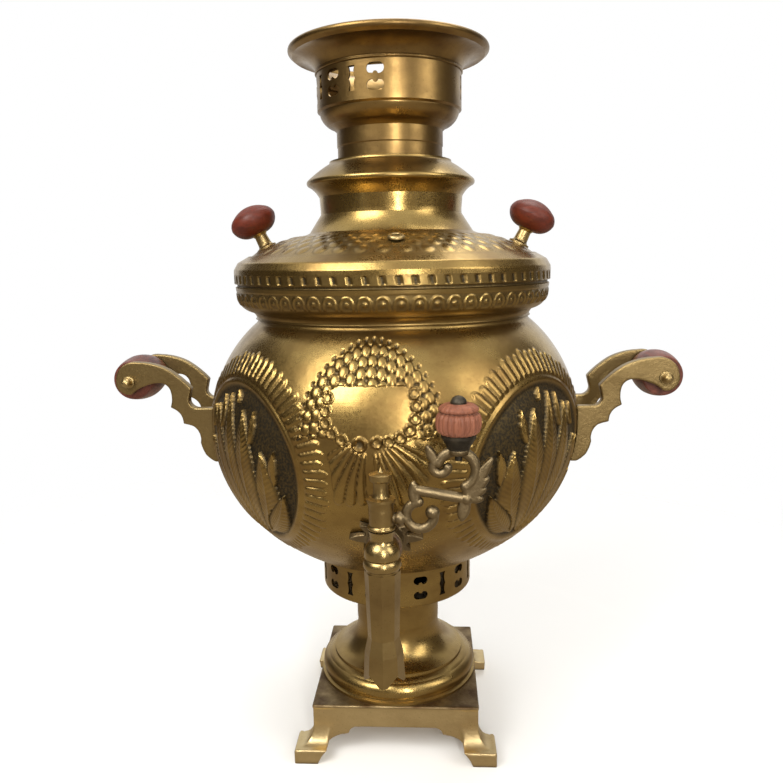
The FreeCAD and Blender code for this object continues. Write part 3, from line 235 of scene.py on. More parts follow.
def brass(name, bright, dull, shine, lathe=0.0, cast=0.0, corner_shade_depth=0.6, ground=False, soiled=None):
    """Aged brass: patches of tarnish, wiped streaks, spots, painted shade that darkens its corners, turning
    lines or a cast skin.

    With ground it darkens where the patina attribute says, and with soiled above that height in metres.
    """
    s = Surface(name)
    patches = s.noise(16, 6.0, (1, 1, 1.6), 0.62)
    streaks = s.noise(55, 3.0, (1, 1, 0.22))
    spots = s.noise(900, 2.0)
    age = s.sum("MULTIPLY", s.band(patches, 0.36, 0.66), s.band(streaks, 0.25, 0.75, 0.65, 1.15))
    colour = s.mix(age, bright, dull)
    colour = s.mix(s.band(spots, 0.66, 0.76, 0.0, 0.55), colour, [c * 0.45 for c in dull])
    # Painted shade: the brass darkens towards near-black in corners and recesses by ambient occlusion, and is
    # rougher there.
    corner_shade = s.band(s.crevice(0.0045), 0.22, 0.75, 0.0, corner_shade_depth)
    colour = s.mix(corner_shade, colour, (0.035, 0.024, 0.013))
    worn = s.band(patches, 0.3, 0.7, shine - 0.05, shine + 0.13)
    rough = s.sum("ADD", worn, s.band(spots, 0.4, 0.8, 0.0, 0.10))
    rough = s.sum("ADD", rough, s.sum("MULTIPLY", corner_shade, 0.35))
    if soiled:
        height = s.node("ShaderNodeSeparateXYZ", _0=s.place).outputs["Z"]
        blotches = s.band(s.noise(60, 4.0), 0.3, 0.6, 0.45, 0.95)
        soil = s.sum("MULTIPLY", s.band(height, soiled - 0.0015, soiled), blotches)
        colour = s.mix(soil, colour, (0.085, 0.048, 0.022))
        rough = s.sum("ADD", rough, s.sum("MULTIPLY", soil, 0.15))
    if ground:
        dark = s.node("ShaderNodeAttribute", {"attribute_name": "patina"}).outputs["Fac"]
        stipple = s.band(s.noise(700, 2.0), 0.35, 0.6, 0.72, 1.0)
        dark = s.sum("MULTIPLY", dark, stipple)
        colour = s.mix(dark, colour, (0.045, 0.038, 0.027))
        rough = s.sum("ADD", rough, s.sum("MULTIPLY", dark, 0.28))
    normal = s.bump(s.noise(42, 3.0), 0.0011, 0.35)
    if lathe:
        lines = s.noise(1, 2.0, (4, 4, 1500), 0.7)
        normal = s.bump(lines, 0.00006, lathe, normal)
    if cast:
        normal = s.bump(s.noise(420, 5.0, rough=0.65), 0.0005, cast, normal)
    s.set("Base Color", colour)
    s.set("Metallic", 1.0)
    s.set("Roughness", rough)
    s.set("Normal", normal)
    return s.material


def turned_wood(name, light, dark, pores, along, gloss):
    """Turned and varnished wood: long grain, pores, rubbed patches and painted shade that darkens its
    corners.
    """
    s = Surface(name)
    stretch = [1.0, 1.0, 1.0]
    stretch[along] = 0.12
    grain = s.noise(260, 5.0, stretch, 0.6)
    rings = s.noise(70, 2.0, stretch)
    rubbed = s.noise(90, 4.0)
    tone = s.sum("MULTIPLY", s.band(grain, 0.3, 0.7), s.band(rings, 0.3, 0.7, 0.6, 1.2))
    colour = s.mix(tone, light, dark)
    colour = s.mix(s.band(rubbed, 0.58, 0.75, 0.0, 0.35), colour, [min(1.0, c * 1.45) for c in light])
    specks = s.band(s.noise(1500, 1.0, stretch), 0.62, 0.70, 0.0, pores)
    colour = s.mix(specks, colour, [c * 0.25 for c in dark])
    # Painted shade: the wood darkens towards near-black in corners and recesses, by ambient occlusion.
    colour = s.mix(s.band(s.crevice(0.004), 0.25, 0.8, 0.0, 0.7), colour, (0.02, 0.010, 0.007))
    s.set("Base Color", colour)
    s.set("Roughness", s.band(rubbed, 0.3, 0.7, gloss, gloss + 0.22))
    s.set("Normal", s.bump(grain, 0.0002, 0.5))
    s.set("Specular IOR Level", 0.28)
    s.set("Coat Weight", 0.08)
    s.set("Coat Roughness", 0.25)
    return s.material


def dull_metal(name, base, worn, rough):
    """Blackened or sooty iron: mottled, with rubbed bright patches."""
    s = Surface(name)
    mottle = s.noise(180, 6.0, rough=0.65)
    rub = s.band(s.noise(60, 3.0), 0.52, 0.72, 0.0, 0.6)
    s.set("Base Color", s.mix(rub, s.mix(s.band(mottle, 0.3, 0.7), base, [c * 0.45 for c in base]), worn))
    s.set("Metallic", 0.85)
    s.set("Roughness", s.band(mottle, 0.3, 0.7, rough - 0.1, rough + 0.15))
    s.set("Normal", s.bump(mottle, 0.0005, 0.6))
    return s.material


def waxed_leather(name):
    s = Surface(name)
    fibre = s.noise(600, 5.0)
    s.set("Base Color", s.mix(s.band(fibre, 0.3, 0.7), (0.14, 0.075, 0.035), (0.05, 0.028, 0.015)))
    s.set("Roughness", s.band(fibre, 0.3, 0.7, 0.55, 0.75))
    s.set("Normal", s.bump(fibre, 0.0004, 0.7))
    return s.material


TANK_BRASS = brass("tank_brass", (0.40, 0.275, 0.092), (0.215, 0.132, 0.044),
                   0.22, lathe=0.25, ground=True)
TURNED_BRASS = brass("turned_brass", (0.36, 0.25, 0.088), (0.20, 0.125, 0.043),
                     0.25, lathe=0.5, corner_shade_depth=0.75)
CROWN_BRASS = brass("crown_brass", (0.30, 0.195, 0.070), (0.125, 0.075, 0.029),
                    0.29, lathe=0.5, corner_shade_depth=0.8)
CAST_BRASS = brass("cast_brass", (0.44, 0.33, 0.150), (0.26, 0.18, 0.075),
                   0.33, cast=0.45, corner_shade_depth=0.85)
BASE_BRASS = brass("base_brass", (0.62, 0.49, 0.26), (0.42, 0.31, 0.155),
                   0.33, cast=0.45, corner_shade_depth=0.85, soiled=0.0368)
BRACKET_BRASS = brass("bracket_brass", (0.32, 0.235, 0.105), (0.18, 0.125, 0.052),
                      0.34, cast=0.45, corner_shade_depth=0.9)
LEVER_BRASS = brass("lever_brass", (0.25, 0.19, 0.105), (0.125, 0.092, 0.05),
                    0.36, cast=0.5, corner_shade_depth=0.95)
TAP_BRASS = brass("tap_brass", (0.36, 0.262, 0.110), (0.20, 0.132, 0.053),
                  0.27, lathe=0.4, cast=0.15, corner_shade_depth=0.9)
LID_KNOB_WOOD = turned_wood("lid_knob_wood", (0.130, 0.019, 0.006), (0.052, 0.009, 0.004), 0.5, 0, 0.42)
KEY_KNOB_WOOD = turned_wood("key_knob_wood", (0.240, 0.084, 0.042), (0.138, 0.044, 0.022), 0.4, 2, 0.48)
GRIP_WOOD = turned_wood("grip_wood", (0.15, 0.040, 0.022), (0.055, 0.016, 0.010), 0.6, 1, 0.30)
DARK_IRON = dull_metal("dark_iron", (0.062, 0.052, 0.038), (0.17, 0.14, 0.095), 0.45)
FIRE_IRON = dull_metal("fire_iron", (0.05, 0.045, 0.04), (0.12, 0.08, 0.05), 0.7)
SCREW_STEEL = dull_metal("screw_steel", (0.42, 0.40, 0.36), (0.60, 0.58, 0.54), 0.32)
LEATHER = waxed_leather("washer_leather")

NODE_MATERIALS = {
    "base_plate": BASE_BRASS, "stand_screws": SCREW_STEEL, "stand": TURNED_BRASS, "vent_ring": TURNED_BRASS,
    "tank_pan": TANK_BRASS, "tank_bowl": TANK_BRASS, "tank_shoulder": TANK_BRASS, "tank_neck": TURNED_BRASS,
    "collar_ring": TANK_BRASS, "fire_tube": TURNED_BRASS, "tube_collar": CROWN_BRASS,
    "fire_grate": FIRE_IRON, "lid_dome": TANK_BRASS, "lid_shoulder": TURNED_BRASS, "steam_vent": CAST_BRASS,
    "crown_socket": CROWN_BRASS, "crown_gallery": CROWN_BRASS, "crown_rim": CROWN_BRASS,
    "tap_flange": LEVER_BRASS, "tap_washer": LEATHER, "tap_body": TAP_BRASS, "tap_plug": TAP_BRASS,
    "key_lever": LEVER_BRASS, "key_socket": DARK_IRON, "key_knob": KEY_KNOB_WOOD, "key_screw": DARK_IRON,
    "handle_rivets": BRACKET_BRASS,
}
SIDE_MATERIALS = {
    "lid_stem": CAST_BRASS, "lid_knob": LID_KNOB_WOOD, "lid_nut": CAST_BRASS,
    "grip": GRIP_WOOD, "grip_rod": SCREW_STEEL, "ball_nuts": CAST_BRASS,
}


def dress_nodes():
    """Every CAD node gets its procedural material and smooth shading between its sharp edges."""
    for name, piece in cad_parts.items():
        stem = name.rsplit("_", 1)[0]
        material = NODE_MATERIALS.get(name) or SIDE_MATERIALS.get(stem, BRACKET_BRASS)
        piece.data.materials.clear()
        piece.data.materials.append(material)
        shade(piece, SHARP_NODE_EDGE)


dress_nodes()


# Chased ornament of the tank. x runs round its widest line from the middle of the front, z is height.

MEDALLION = (112.0, 218.5)              # middle of the side panels
MEDALLION_HALF = (60.5, 53.0)
RIB_COUNT = 72
PANEL_DEPTH = 1.9
VEIN_PITCH = 3.4
FAN_START = 9.0                         # degrees from straight down to a fan's first ridge
FAN_RIDGE = 9.6                         # degrees a ridge takes
FAN_REACH = 50.0
FAN_ENDS = ((-1, 64.0), (1, 72.0))      # side, and where its last ridge ends
PLATE_MIDDLE = (-7.7, 250.0)            # what the scales arch over
SCALE_ROWS = ((24.5, 3.75), (31.0, 3.75), (37.3, 3.65), (43.2, 3.5))    # radius of the row, of a scale
SCALE_SQUEEZE = 0.9                     # the arch is this much narrower than a round one
DOT_ROW_R = 48.6
DOT_R = 1.5
DOT_COUNT = 48
TAP_MIDDLE_Z = 185.0
BRACKET_MIDDLE_Z = 223.5
PANEL_LEAVES = (                        # root, tip, half width, sideways bow, from the panel's middle
    ((11, -46), (31, 14), 12.5, -9),
    ((4, -47), (12, 37), 11.5, -4),
    ((0, -48), (-6, 46), 9.5, 0),
    ((-5, -47), (-25, 37), 11.0, 4),
    ((-10, -45), (-42, 12), 12.0, 9),
    ((16, -43), (46, -12), 8.0, -5),
    ((-15, -43), (-49, -14), 8.0, 5),
    ((21, 17), (24, 38), 3.2, 0),
    ((-15, 22), (-15, 44), 3.0, 0),
    ((-34, 19), (-34, 35), 3.0, 0),
    ((41, -6), (43, 16), 3.4, 2),
    ((-49, -8), (-50, 10), 3.2, -2),
    ((5, 40), (3, 49), 2.2, 0),
)


def lay(ornament, inside, level, mark):
    """Where inside holds, the ornament's height and darkening become these."""
    return np.where(inside, level, ornament[0]), np.where(inside, mark, ornament[1])


def blade(ornament, p, q, root, tip, half, bow):
    """A raised leaf with a midrib and slanting veins."""
    way = np.subtract(tip, root)
    length = np.hypot(*way)
    along = ((p - root[0]) * way[0] + (q - root[1]) * way[1]) / length ** 2
    side = ((q - root[1]) * way[0] - (p - root[0]) * way[1]) / length - bow * 4 * along * (1 - along)
    t = np.clip(along, 0, 1)
    width = half * np.sin(np.pi * t ** 0.8) ** 0.85 + 1e-3
    d = np.abs(side) / width
    veins = np.cos(2 * np.pi * (t * length - 0.9 * np.abs(side)) / VEIN_PITCH)
    level = 1.3 * np.sqrt(np.clip(1 - d * d, 0, 1)) ** 0.7 - 0.9 + 0.45 * hump(side, 1.0)
    level -= 0.16 * (1 + veins) * smooth(d, 0.12, 0.3) * smooth(half, 2.5, 6.0)
    dark = 0.7 * smooth(d, 0.6, 1.0) + 0.12 * (1 + veins) * smooth(half, 2.5, 6.0)
    return lay(ornament, (along > 0) & (along < 1) & (d < 1), level, dark)


def panel(ornament, p, q):
    """An oval medallion: raised leaves on a sunk dark ground, in a ring of short ribs."""
    e = np.hypot(p / MEDALLION_HALF[0], q / MEDALLION_HALF[1])
    theta = np.arctan2(q / MEDALLION_HALF[1], p / MEDALLION_HALF[0])
    beat = theta * RIB_COUNT / (2 * np.pi)
    across = np.abs(beat - np.round(beat)) * 2
    ridge = np.sqrt(np.clip(1 - across ** 2, 0, 1))
    low = smooth(-np.sin(theta), 0.35, 0.95)
    reach = 1.325 + 0.018 * np.sin(np.round(beat) * 2.3) - 0.13 * low - 0.07 * across ** 2
    run = smooth(e, 1.035, 1.085) * (1 - smooth(e, reach - 0.035, reach))
    rib_height = 1.25 - 0.45 * low
    ribs = run * (rib_height * ridge - 0.3)
    ornament = lay(ornament, (e > 1.0) & (e < 1.36), ribs, 0.75 * run * (1 - ridge) ** 1.5)
    ground = -PANEL_DEPTH * (1 - smooth(e, 0.915, 0.985)) + 0.35 * hump(e - 1.0, 0.035)
    ornament = lay(ornament, e <= 1.035, ground, 1.0 - smooth(e, 0.93, 0.99))
    for leaf in PANEL_LEAVES:
        ornament = blade(ornament, p, q, *leaf)
    return ornament


def fans(ornament, x, z):
    """Two sprays of ridges that spread down from under the plate, left and right of the tap."""
    rho = np.hypot(x - PLATE_MIDDLE[0], z - PLATE_MIDDLE[1])
    turn = np.degrees(np.arctan2(x - PLATE_MIDDLE[0], PLATE_MIDDLE[1] - z))
    for side, far in FAN_ENDS:
        angle = side * turn + FAN_START * (rho - 12) / 40
        beat = (angle - FAN_START) / FAN_RIDGE
        across = np.abs(beat - np.floor(beat) - 0.5) * 2
        ridge = np.sqrt(np.clip(1 - across ** 2, 0, 1))
        reach = FAN_REACH - 7.0 * np.cos(np.radians(angle * 2.2)) ** 2 - 3.0 * across ** 2
        run = smooth(rho, 11.0, 15.0) * (1 - smooth(rho, reach - 2.5, reach))
        inside = (angle > FAN_START) & (angle < far) & (side * turn > 0) & (rho < FAN_REACH + 2)
        ornament = lay(ornament, inside, run * (1.35 * ridge - 0.3), 0.7 * run * (1 - ridge) ** 1.5)
    return ornament


def scales(ornament, x, z):
    """Rows of domed scales that arch over the plain plate, inner rows in front, and punched dots outside."""
    u = (x - PLATE_MIDDLE[0]) / SCALE_SQUEEZE
    v = z - PLATE_MIDDLE[1]
    rho = np.hypot(u, v)
    angle = np.arctan2(v, u)
    angle = np.where(angle < -np.pi / 2, angle + 2 * np.pi, angle)
    over = (angle > math.radians(-8)) & (angle < math.radians(188))
    ornament = lay(ornament, over & (rho > 19) & (rho < 46), -0.45, 0.85)
    step = 2 * np.pi / DOT_COUNT
    near = np.round(angle / step) * step
    d = np.hypot(u - DOT_ROW_R * np.cos(near), v - DOT_ROW_R * np.sin(near)) / DOT_R
    ornament = lay(ornament, over & (d < 1), -0.9 * np.sqrt(np.clip(1 - d * d, 0, 1)), 0.9 * (1 - d ** 3))
    for index, (radius, size) in reversed(list(enumerate(SCALE_ROWS))):
        step = 2 * size / radius
        near = (np.round(angle / step - 0.5 * (index % 2)) + 0.5 * (index % 2)) * step
        near = np.clip(near, math.radians(-6), math.radians(186))
        d = np.hypot(u - radius * np.cos(near), v - radius * np.sin(near)) / (size * 1.03)
        dome = 1.4 * np.sqrt(np.clip(1 - d * d, 0, 1)) ** 0.8 - 0.35
        ornament = lay(ornament, (d < 1) & over, dome, 0.75 * smooth(d, 0.80, 1.0))
    return ornament


PLATE_Z = 259.0
PLATE_CORNER_R = 12.0
PLATE_FLAT = (17.0, 3.5)                # half the plate's straight edges
PLATE_RING = (-13.3, 242.6)
PLATE_BEADS = (
    (-33.6, 267.5), (-34.2, 260.6), (-33.6, 253.8), (-29.6, 248.4), (-23.8, 245.2),
    (-3.6, 244.0), (3.2, 244.6), (9.6, 246.6), (15.2, 250.6), (18.6, 256.6), (19.4, 263.4), (18.6, 270.0),
)


def plate(ornament, x, z):
    """The plain plate over the tap, edged with round beads and a small ring below."""
    u = np.abs(x - PLATE_MIDDLE[0]) - PLATE_FLAT[0]
    v = np.abs(z - PLATE_Z) - PLATE_FLAT[1]
    inside = np.hypot(np.maximum(u, 0), np.maximum(v, 0)) < PLATE_CORNER_R
    ornament = lay(ornament, inside, 0.15, 0.0)
    for cx, cz in PLATE_BEADS:
        d = np.hypot(x - cx, z - cz)
        bead = 1.1 * hump(d - 2.7, 1.0) + 0.25 * (1 - smooth(d, 1.6, 2.6))
        ornament = lay(ornament, d < 3.75, bead, 0.6 * smooth(d, 3.0, 3.7) + 0.5 * hump(d - 1.7, 0.7))
    d = np.hypot(x - PLATE_RING[0], z - PLATE_RING[1])
    ring = 1.3 * hump(d - 3.4, 1.2) - 0.5 * (1 - smooth(d, 1.2, 2.4))
    return lay(ornament, d < 4.7, ring, 0.8 * (1 - smooth(d, 1.6, 2.6)) + 0.5 * smooth(d, 4.0, 4.6))


def tank_ornament(azimuth, _, z):
    """Height and darkening over the tank, the rear as the front's mirror image, clear of tap and brackets."""
    folded = np.where(azimuth > 90, 180 - azimuth, azimuth)
    x = np.radians(folded) * TANK_R + 0 * z
    z = z + 0 * x
    ornament = (np.zeros_like(x), np.zeros_like(x))
    ornament = fans(ornament, x, z)
    for side in (1, -1):
        ornament = panel(ornament, MEDALLION[0] - side * x, z - MEDALLION[1])
    ornament = scales(ornament, x, z)
    ornament = plate(ornament, x, z)
    rosette = np.hypot(x, z - TAP_MIDDLE_Z)
    front = np.where(azimuth > 90, 0.0, 1.0)
    clear = 1 - front * (1 - smooth(rosette, 21.0, 26.0))
    foot = (1 - smooth(np.abs(z - BRACKET_MIDDLE_Z), 22.0, 27.0)) * smooth(np.abs(folded), 75.0, 77.5)
    clear = clear * (1 - foot) * smooth(z, 146.0, 152.0)
    return ornament[0] * clear, ornament[1] * clear


INNER_INSET = 3.2                       # keeps the inner face behind the deepest ornament
INNER_FOOT_Z = 137.2
INNER_STEPS = 10
FOOT_TURN = 68.2                        # degrees below level at the tank's foot
SHOULDER_TURN = 49.6                    # degrees above level at its shoulder
SHOULDER_END_Z = 301.6
FLOOR_HOLE_R = 45.35
NECK_LINE = ((95.3, 302.6), (94.5, 303.6))
NECK_OUTER_R = 94.2
NECK_INNER_R = 93.0


def tank_line(inset):
    """The tank's wall from its foot to its shoulder, this far inside the outer face."""
    turn = math.radians(BELLY_ARC_TURN)
    step = HIP_ARC_R - BELLY_ARC_R
    belly = (TANK_R - BELLY_ARC_R, BELLY_Z)
    hip = (belly[0] - step * math.cos(turn), BELLY_Z + step * math.sin(turn))
    lower = arc(hip, HIP_ARC_R - inset, -FOOT_TURN, -BELLY_ARC_TURN, 160)
    middle = arc(belly, BELLY_ARC_R - inset, -BELLY_ARC_TURN, 0, 160)
    upper = arc((TANK_R - SHOULDER_ARC_R, BELLY_Z), SHOULDER_ARC_R - inset, 0, SHOULDER_TURN, 160)
    return np.concatenate([lower, middle[1:], upper[1:]])


def cut_line(points, low, high):
    """The part of a rising line between two heights, with its ends on them."""
    inner = points[(points[:, 1] > low + 1e-6) & (points[:, 1] < high - 1e-6)]
    ends = [[np.interp(h, points[:, 1], points[:, 0]), h] for h in (low, high)]
    return np.concatenate([[ends[0]], inner, [ends[1]]])


def half_rings(node, outer, rest, pitch, columns, ornament, body):
    """A turned CAD node drawn again as a front and a rear half, with ornament on its outer line.

    outer and rest are the profile's two stretches, and pitch is how far apart outer's points then lie.
    """
    reach = np.sum(np.linalg.norm(np.diff(outer, axis=0), axis=1))
    line = evenly(outer, int(reach / pitch))
    loop = np.concatenate([line, rest])
    halves = []
    for name, start in (("front", -90.0), ("rear", 90.0)):
        azimuths = np.linspace(start, start + 180.0, columns)
        relief, marks = ornament(azimuths[:, None], line[None, :, 0], line[None, :, 1])
        piece = ring_mesh(node + "_" + name, loop, azimuths, relief, marks, body, TANK_BRASS)
        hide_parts(node)
        halves.append(piece)
    return halves


def tank_band(node, low, high, pitch, columns, foot=(), head=()):
    """One spun ring of the tank with its chased ornament, cut where the CAD ring ends."""
    inner = evenly(cut_line(tank_line(INNER_INSET), max(low, INNER_FOOT_Z), high), INNER_STEPS)[::-1]
    rest = np.concatenate([np.array(part, float).reshape(-1, 2) for part in (head, inner, foot)])
    half_rings(node, cut_line(tank_line(0.0), low, high), rest, pitch, columns, tank_ornament, "tank")


def node_top(node):
    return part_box(node)[1].z / MM


def tank():
    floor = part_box("tank_pan")[0].z / MM
    inside = floor + TANK_WALL
    pan_top = node_top("tank_pan")
    bowl_top = node_top("tank_bowl")
    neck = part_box("tank_shoulder")[1].z / MM
    tank_band("tank_pan", floor + 1.0, pan_top, 0.75, 480,
              foot=((52.0, inside), (FLOOR_HOLE_R, inside), (FLOOR_HOLE_R, floor), (54.5, floor)))
    tank_band("tank_bowl", pan_top, bowl_top, 0.58, 620)
    tank_band("tank_shoulder", bowl_top, SHOULDER_END_Z, 0.66, 620,
              head=(*NECK_LINE, (NECK_OUTER_R, neck), (NECK_INNER_R, neck), (NECK_INNER_R, 303.0)))


tank()


# Collar, lid, cast pieces and the key's knob

COLLAR_OUTER = (                        # radius, height, and the bow of the stretch that ends there
    (95.55, 305.6), (95.05, 307.0, -0.2), (97.95, 310.6, -0.5), (107.2, 319.0, 1.7), (108.2, 327.2),
    (107.0, 327.8), (107.0, 329.2), (108.9, 329.6), (108.9, 335.9),
)
COLLAR_INNER = (
    (94.35, 335.9), (94.35, 334.5), (106.0, 334.5), (106.0, 326.6), (104.9, 319.6), (96.4, 312.4),
    (94.35, 308.6), (94.35, 305.2),
)
DENTIL_COUNT = 72
DENTIL_SLANT = 0.16                     # sideways for each millimetre up
DENTIL_MIDDLE_Z = 332.5
DENTIL_DEPTH = 0.95
ARCH_COUNT = 64
ARCH_SPRING_Z = 319.2
ARCH_R = 3.7
ARCH_BEAD_Z = 318.8
ARCH_BEAD_R = 1.9
GROOVE_Z = 328.5

LID_OUTER = (
    (109.0, 335.9), (108.8, 338.7), (106.1, 343.3), (98.4, 347.6), (97.2, 347.3), (60.0, 361.0, 1.9),
    (48.5, 377.0, -3.6), (49.1, 386.0),
)
LID_INNER = (
    (47.9, 386.0), (47.3, 376.6), (58.6, 359.3), (96.2, 345.4), (104.2, 341.9), (105.9, 337.1),
    (91.0, 337.1), (91.0, 321.9), (92.2, 321.9), (92.2, 335.9),
)
LID_ROWS = ((91.0, 0.0), (83.6, 0.5), (76.2, 0.0), (68.8, 0.5))         # radius, and shift by half a drop
LID_DROPS = 44
LID_GROOVE_Z = 347.2
VENT_AZIMUTH = 5.0
VENT_AT_R = 78.0
VENT_BORE_R = 2.2


def bowed(corners):
    """A line through its corners, where a bow is how far a stretch swells to the right of its way."""
    line = [np.array(corners[0][:2], float)]
    for start, end in zip(corners, corners[1:]):
        first = np.array(start[:2], float)
        span = np.array(end[:2], float) - first
        bow = end[2] if len(end) > 2 else 0.0
        right = np.array([span[1], -span[0]]) / np.linalg.norm(span)
        for t in np.linspace(0, 1, 13 if bow else 2)[1:]:
            line.append(first + span * t + 4 * bow * t * (1 - t) * right)
    return np.array(line)


def wrapped(azimuth, count, shift=0.0):
    """Degrees from the nearest of so many repeats round the axis."""
    pitch = 360.0 / count
    return (azimuth + shift * pitch + pitch / 2) % pitch - pitch / 2


def collar_ornament(azimuth, r, z):
    """Dentils at the top and, under them, a row of stamped arches with a bead in each."""
    x = np.radians(wrapped(azimuth, DENTIL_COUNT)) * r + DENTIL_SLANT * (z - DENTIL_MIDDLE_Z)
    row = smooth(z, 329.8, 330.8) * (1 - smooth(z, 334.6, 335.4))
    gap = row * (1 - smooth(np.abs(x), 0.3, 2.5))
    slit = row * (1 - smooth(np.abs(x), 0.5, 1.5))
    x = np.radians(wrapped(azimuth, ARCH_COUNT)) * r
    field = smooth(z, 315.0, 316.0) * (1 - smooth(z, 324.0, 325.0))
    arch = hump(np.hypot(x, np.maximum(z - ARCH_SPRING_Z, 0.0)) - ARCH_R, 1.1)
    bead = hump(np.hypot(x, z - ARCH_BEAD_Z), ARCH_BEAD_R)
    raised = np.maximum(arch, bead)
    height = -DENTIL_DEPTH * gap + field * (0.6 * raised - 0.2)
    ground = field * (1 - smooth(raised, 0.1, 0.6))
    groove = hump(z - GROOVE_Z, 0.9)
    return height, np.maximum(np.maximum(slit, 0.55 * ground), 0.6 * groove + 0.28 + 0 * x)


def lid_ornament(azimuth, r, z):
    """Rows of chased drops round the dome, set between each other."""
    height = 0 * azimuth * r
    marks = 0 * azimuth * r
    for middle, shift in LID_ROWS:
        x = np.radians(wrapped(azimuth, LID_DROPS, shift)) * middle
        reach = np.hypot(x / 4.3, (r - middle) / (5.0 - 0.16 * x * x / 4.3))
        height = np.maximum(height, 0.6 * hump(reach, 1.0))
        marks = np.maximum(marks, 0.4 * hump(reach - 1.08, 0.25))
    clear = smooth(r, 60.0, 65.0) * (1 - smooth(r, 95.0, 96.8)) * (z > 345.0)
    x = np.radians(azimuth - VENT_AZIMUTH) * r
    clear = clear * smooth(np.hypot(x, r - VENT_AT_R), 6.5, 9.0)
    marks = marks + 0.6 * hump(z - LID_GROOVE_Z, 0.7) * (1 - clear)
    return height * clear, np.clip(marks * (0.25 + 0.75 * clear), 0, 1)


def pierce(piece, azimuth, radius, height, bore):
    """A plumb round hole through a piece, with its middle at this azimuth, radius and height."""
    bpy.ops.mesh.primitive_cylinder_add(vertices=48, radius=bore * MM, depth=60 * MM)
    cutter = bpy.context.object
    cutter.location = Vector(around(np.array(radius), azimuth, height))
    cut = piece.modifiers.new("bore", "BOOLEAN")
    cut.object = cutter
    cut.operation = "DIFFERENCE"
    cut.solver = "EXACT"
    with bpy.context.temp_override(object=piece, active_object=piece):
        bpy.ops.object.modifier_apply(modifier=cut.name)
    bpy.data.objects.remove(cutter)


def soften(node, grain, passes, swell=0.0):
    """Rounded edges of a casting: the CAD node gets an even skin, which is smoothed and may swell."""
    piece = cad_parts[node]
    skin = piece.modifiers.new("skin", "REMESH")
    skin.mode = "VOXEL"
    skin.voxel_size = grain * MM
    skin.use_smooth_shade = True
    ease = piece.modifiers.new("ease", "SMOOTH")
    ease.factor = 0.5
    ease.iterations = passes
    if swell:
        fill = piece.modifiers.new("fill", "DISPLACE")
        fill.mid_level = 0.0
        fill.strength = swell * MM


KNOB_LINE = (                           # height, from -1 at the foot to 1 at the top, and radius
    (-1.0, 8.6), (-0.94, 9.8), (-0.8, 11.0), (-0.6, 11.7), (-0.35, 12.0), (-0.1, 12.0), (0.1, 11.8),
    (0.26, 11.3), (0.36, 10.6), (0.41, 9.7), (0.46, 9.5), (0.51, 10.1), (0.58, 10.6), (0.68, 10.6),
    (0.78, 10.1), (0.88, 9.1), (0.95, 7.9), (1.0, 6.4),
)
KNOB_RIB_DEPTH = ((-1.0, 0.3), (-0.6, 0.8), (0.4, 0.7), (0.5, 0.1), (0.62, 0.3))
KNOB_RIBS = 22
POINTS_TO_A_RIB = 10
KNOB_LEVELS = 64


def key_knob():
    """The tap key's knob: a turned barrel with ribs that run up it."""
    low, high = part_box("key_knob")
    middle = (low + high) / 2
    half = (high.z - low.z) / 2
    turns = KNOB_RIBS * POINTS_TO_A_RIB
    t = np.linspace(-1, 1, KNOB_LEVELS)[:, None]
    azimuth = np.linspace(0, 2 * np.pi, turns, endpoint=False)[None, :]
    radius = np.interp(t, *np.transpose(KNOB_LINE)) * (1 + 0 * azimuth)
    groove = (0.5 - 0.5 * np.cos(KNOB_RIBS * azimuth)) ** 2
    radius -= np.interp(t, *np.transpose(KNOB_RIB_DEPTH)) * groove
    verts = np.stack([middle.x + radius * MM * np.cos(azimuth), middle.y + radius * MM * np.sin(azimuth),
                      middle.z + half * t * (1 + 0 * azimuth)], -1).reshape(-1, 3)
    faces = []
    last = (KNOB_LEVELS - 1) * turns
    for a in range(0, last, turns):
        b = a + turns
        for k in range(turns):
            m = (k + 1) % turns
            faces.append((a + k, a + m, b + m, b + k))
    faces.append(tuple(reversed(range(turns))))
    faces.append(tuple(range(last, last + turns)))
    piece = mesh_piece("key_knob_ribbed", verts, faces, "tap_key", KEY_KNOB_WOOD, 50.0)
    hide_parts("key_knob")


half_rings("collar_ring", bowed(COLLAR_OUTER), bowed(COLLAR_INNER), 0.42, 780, collar_ornament, "tank")
lid_front = half_rings("lid_dome", bowed(LID_OUTER), bowed(LID_INNER), 0.7, 620, lid_ornament, "lid")[0]
pierce(lid_front, VENT_AZIMUTH, VENT_AT_R, 355.0, VENT_BORE_R)
key_knob()
for bracket in ("right_front", "right_rear", "left_front", "left_rear"):
    soften("bracket_" + bracket, 0.62, 7)
soften("base_plate", 0.85, 5)
soften("key_lever", 0.4, 8, 1.0)
soften("tap_flange", 0.45, 5)


# Floor, room, lights and camera

FLOOR_R = 2.4
FLOOR_FADE = (0.26, 0.75)               # where the floor starts to fade, and where it is gone
TABLE_R = 1.6
TABLE_TONE = (0.48, 0.40, 0.30)
WALL = (0.17, 0.14, 0.105)
DARK_WALL = (0.11, 0.09, 0.068)
FRONT_WALL = (0.30, 0.25, 0.19)
WARM_WHITE = (1.0, 0.97, 0.92)
LAMP_AIM_HEIGHT = 260 * MM
DIFFUSE_LEVEL = 0.62                    # the world's light on the object; what is seen of it is 1, white


def pale_floor():
    """A pale disc that fades out with distance, so that no horizon shows."""
    bpy.ops.mesh.primitive_circle_add(vertices=96, radius=FLOOR_R, fill_type="NGON", location=(0, AXIS_Y, 0))
    floor = bpy.context.object
    floor.name = "floor"
    s = Surface("floor_paint")
    s.set("Base Color", (0.86, 0.86, 0.85, 1.0))
    s.set("Roughness", 0.9)
    reach = s.node("ShaderNodeVectorMath", {"operation": "LENGTH"}, _0=s.place).outputs["Value"]
    s.set("Alpha", s.band(reach, *FLOOR_FADE, 1.0, 0.0))
    floor.data.materials.append(s.material)


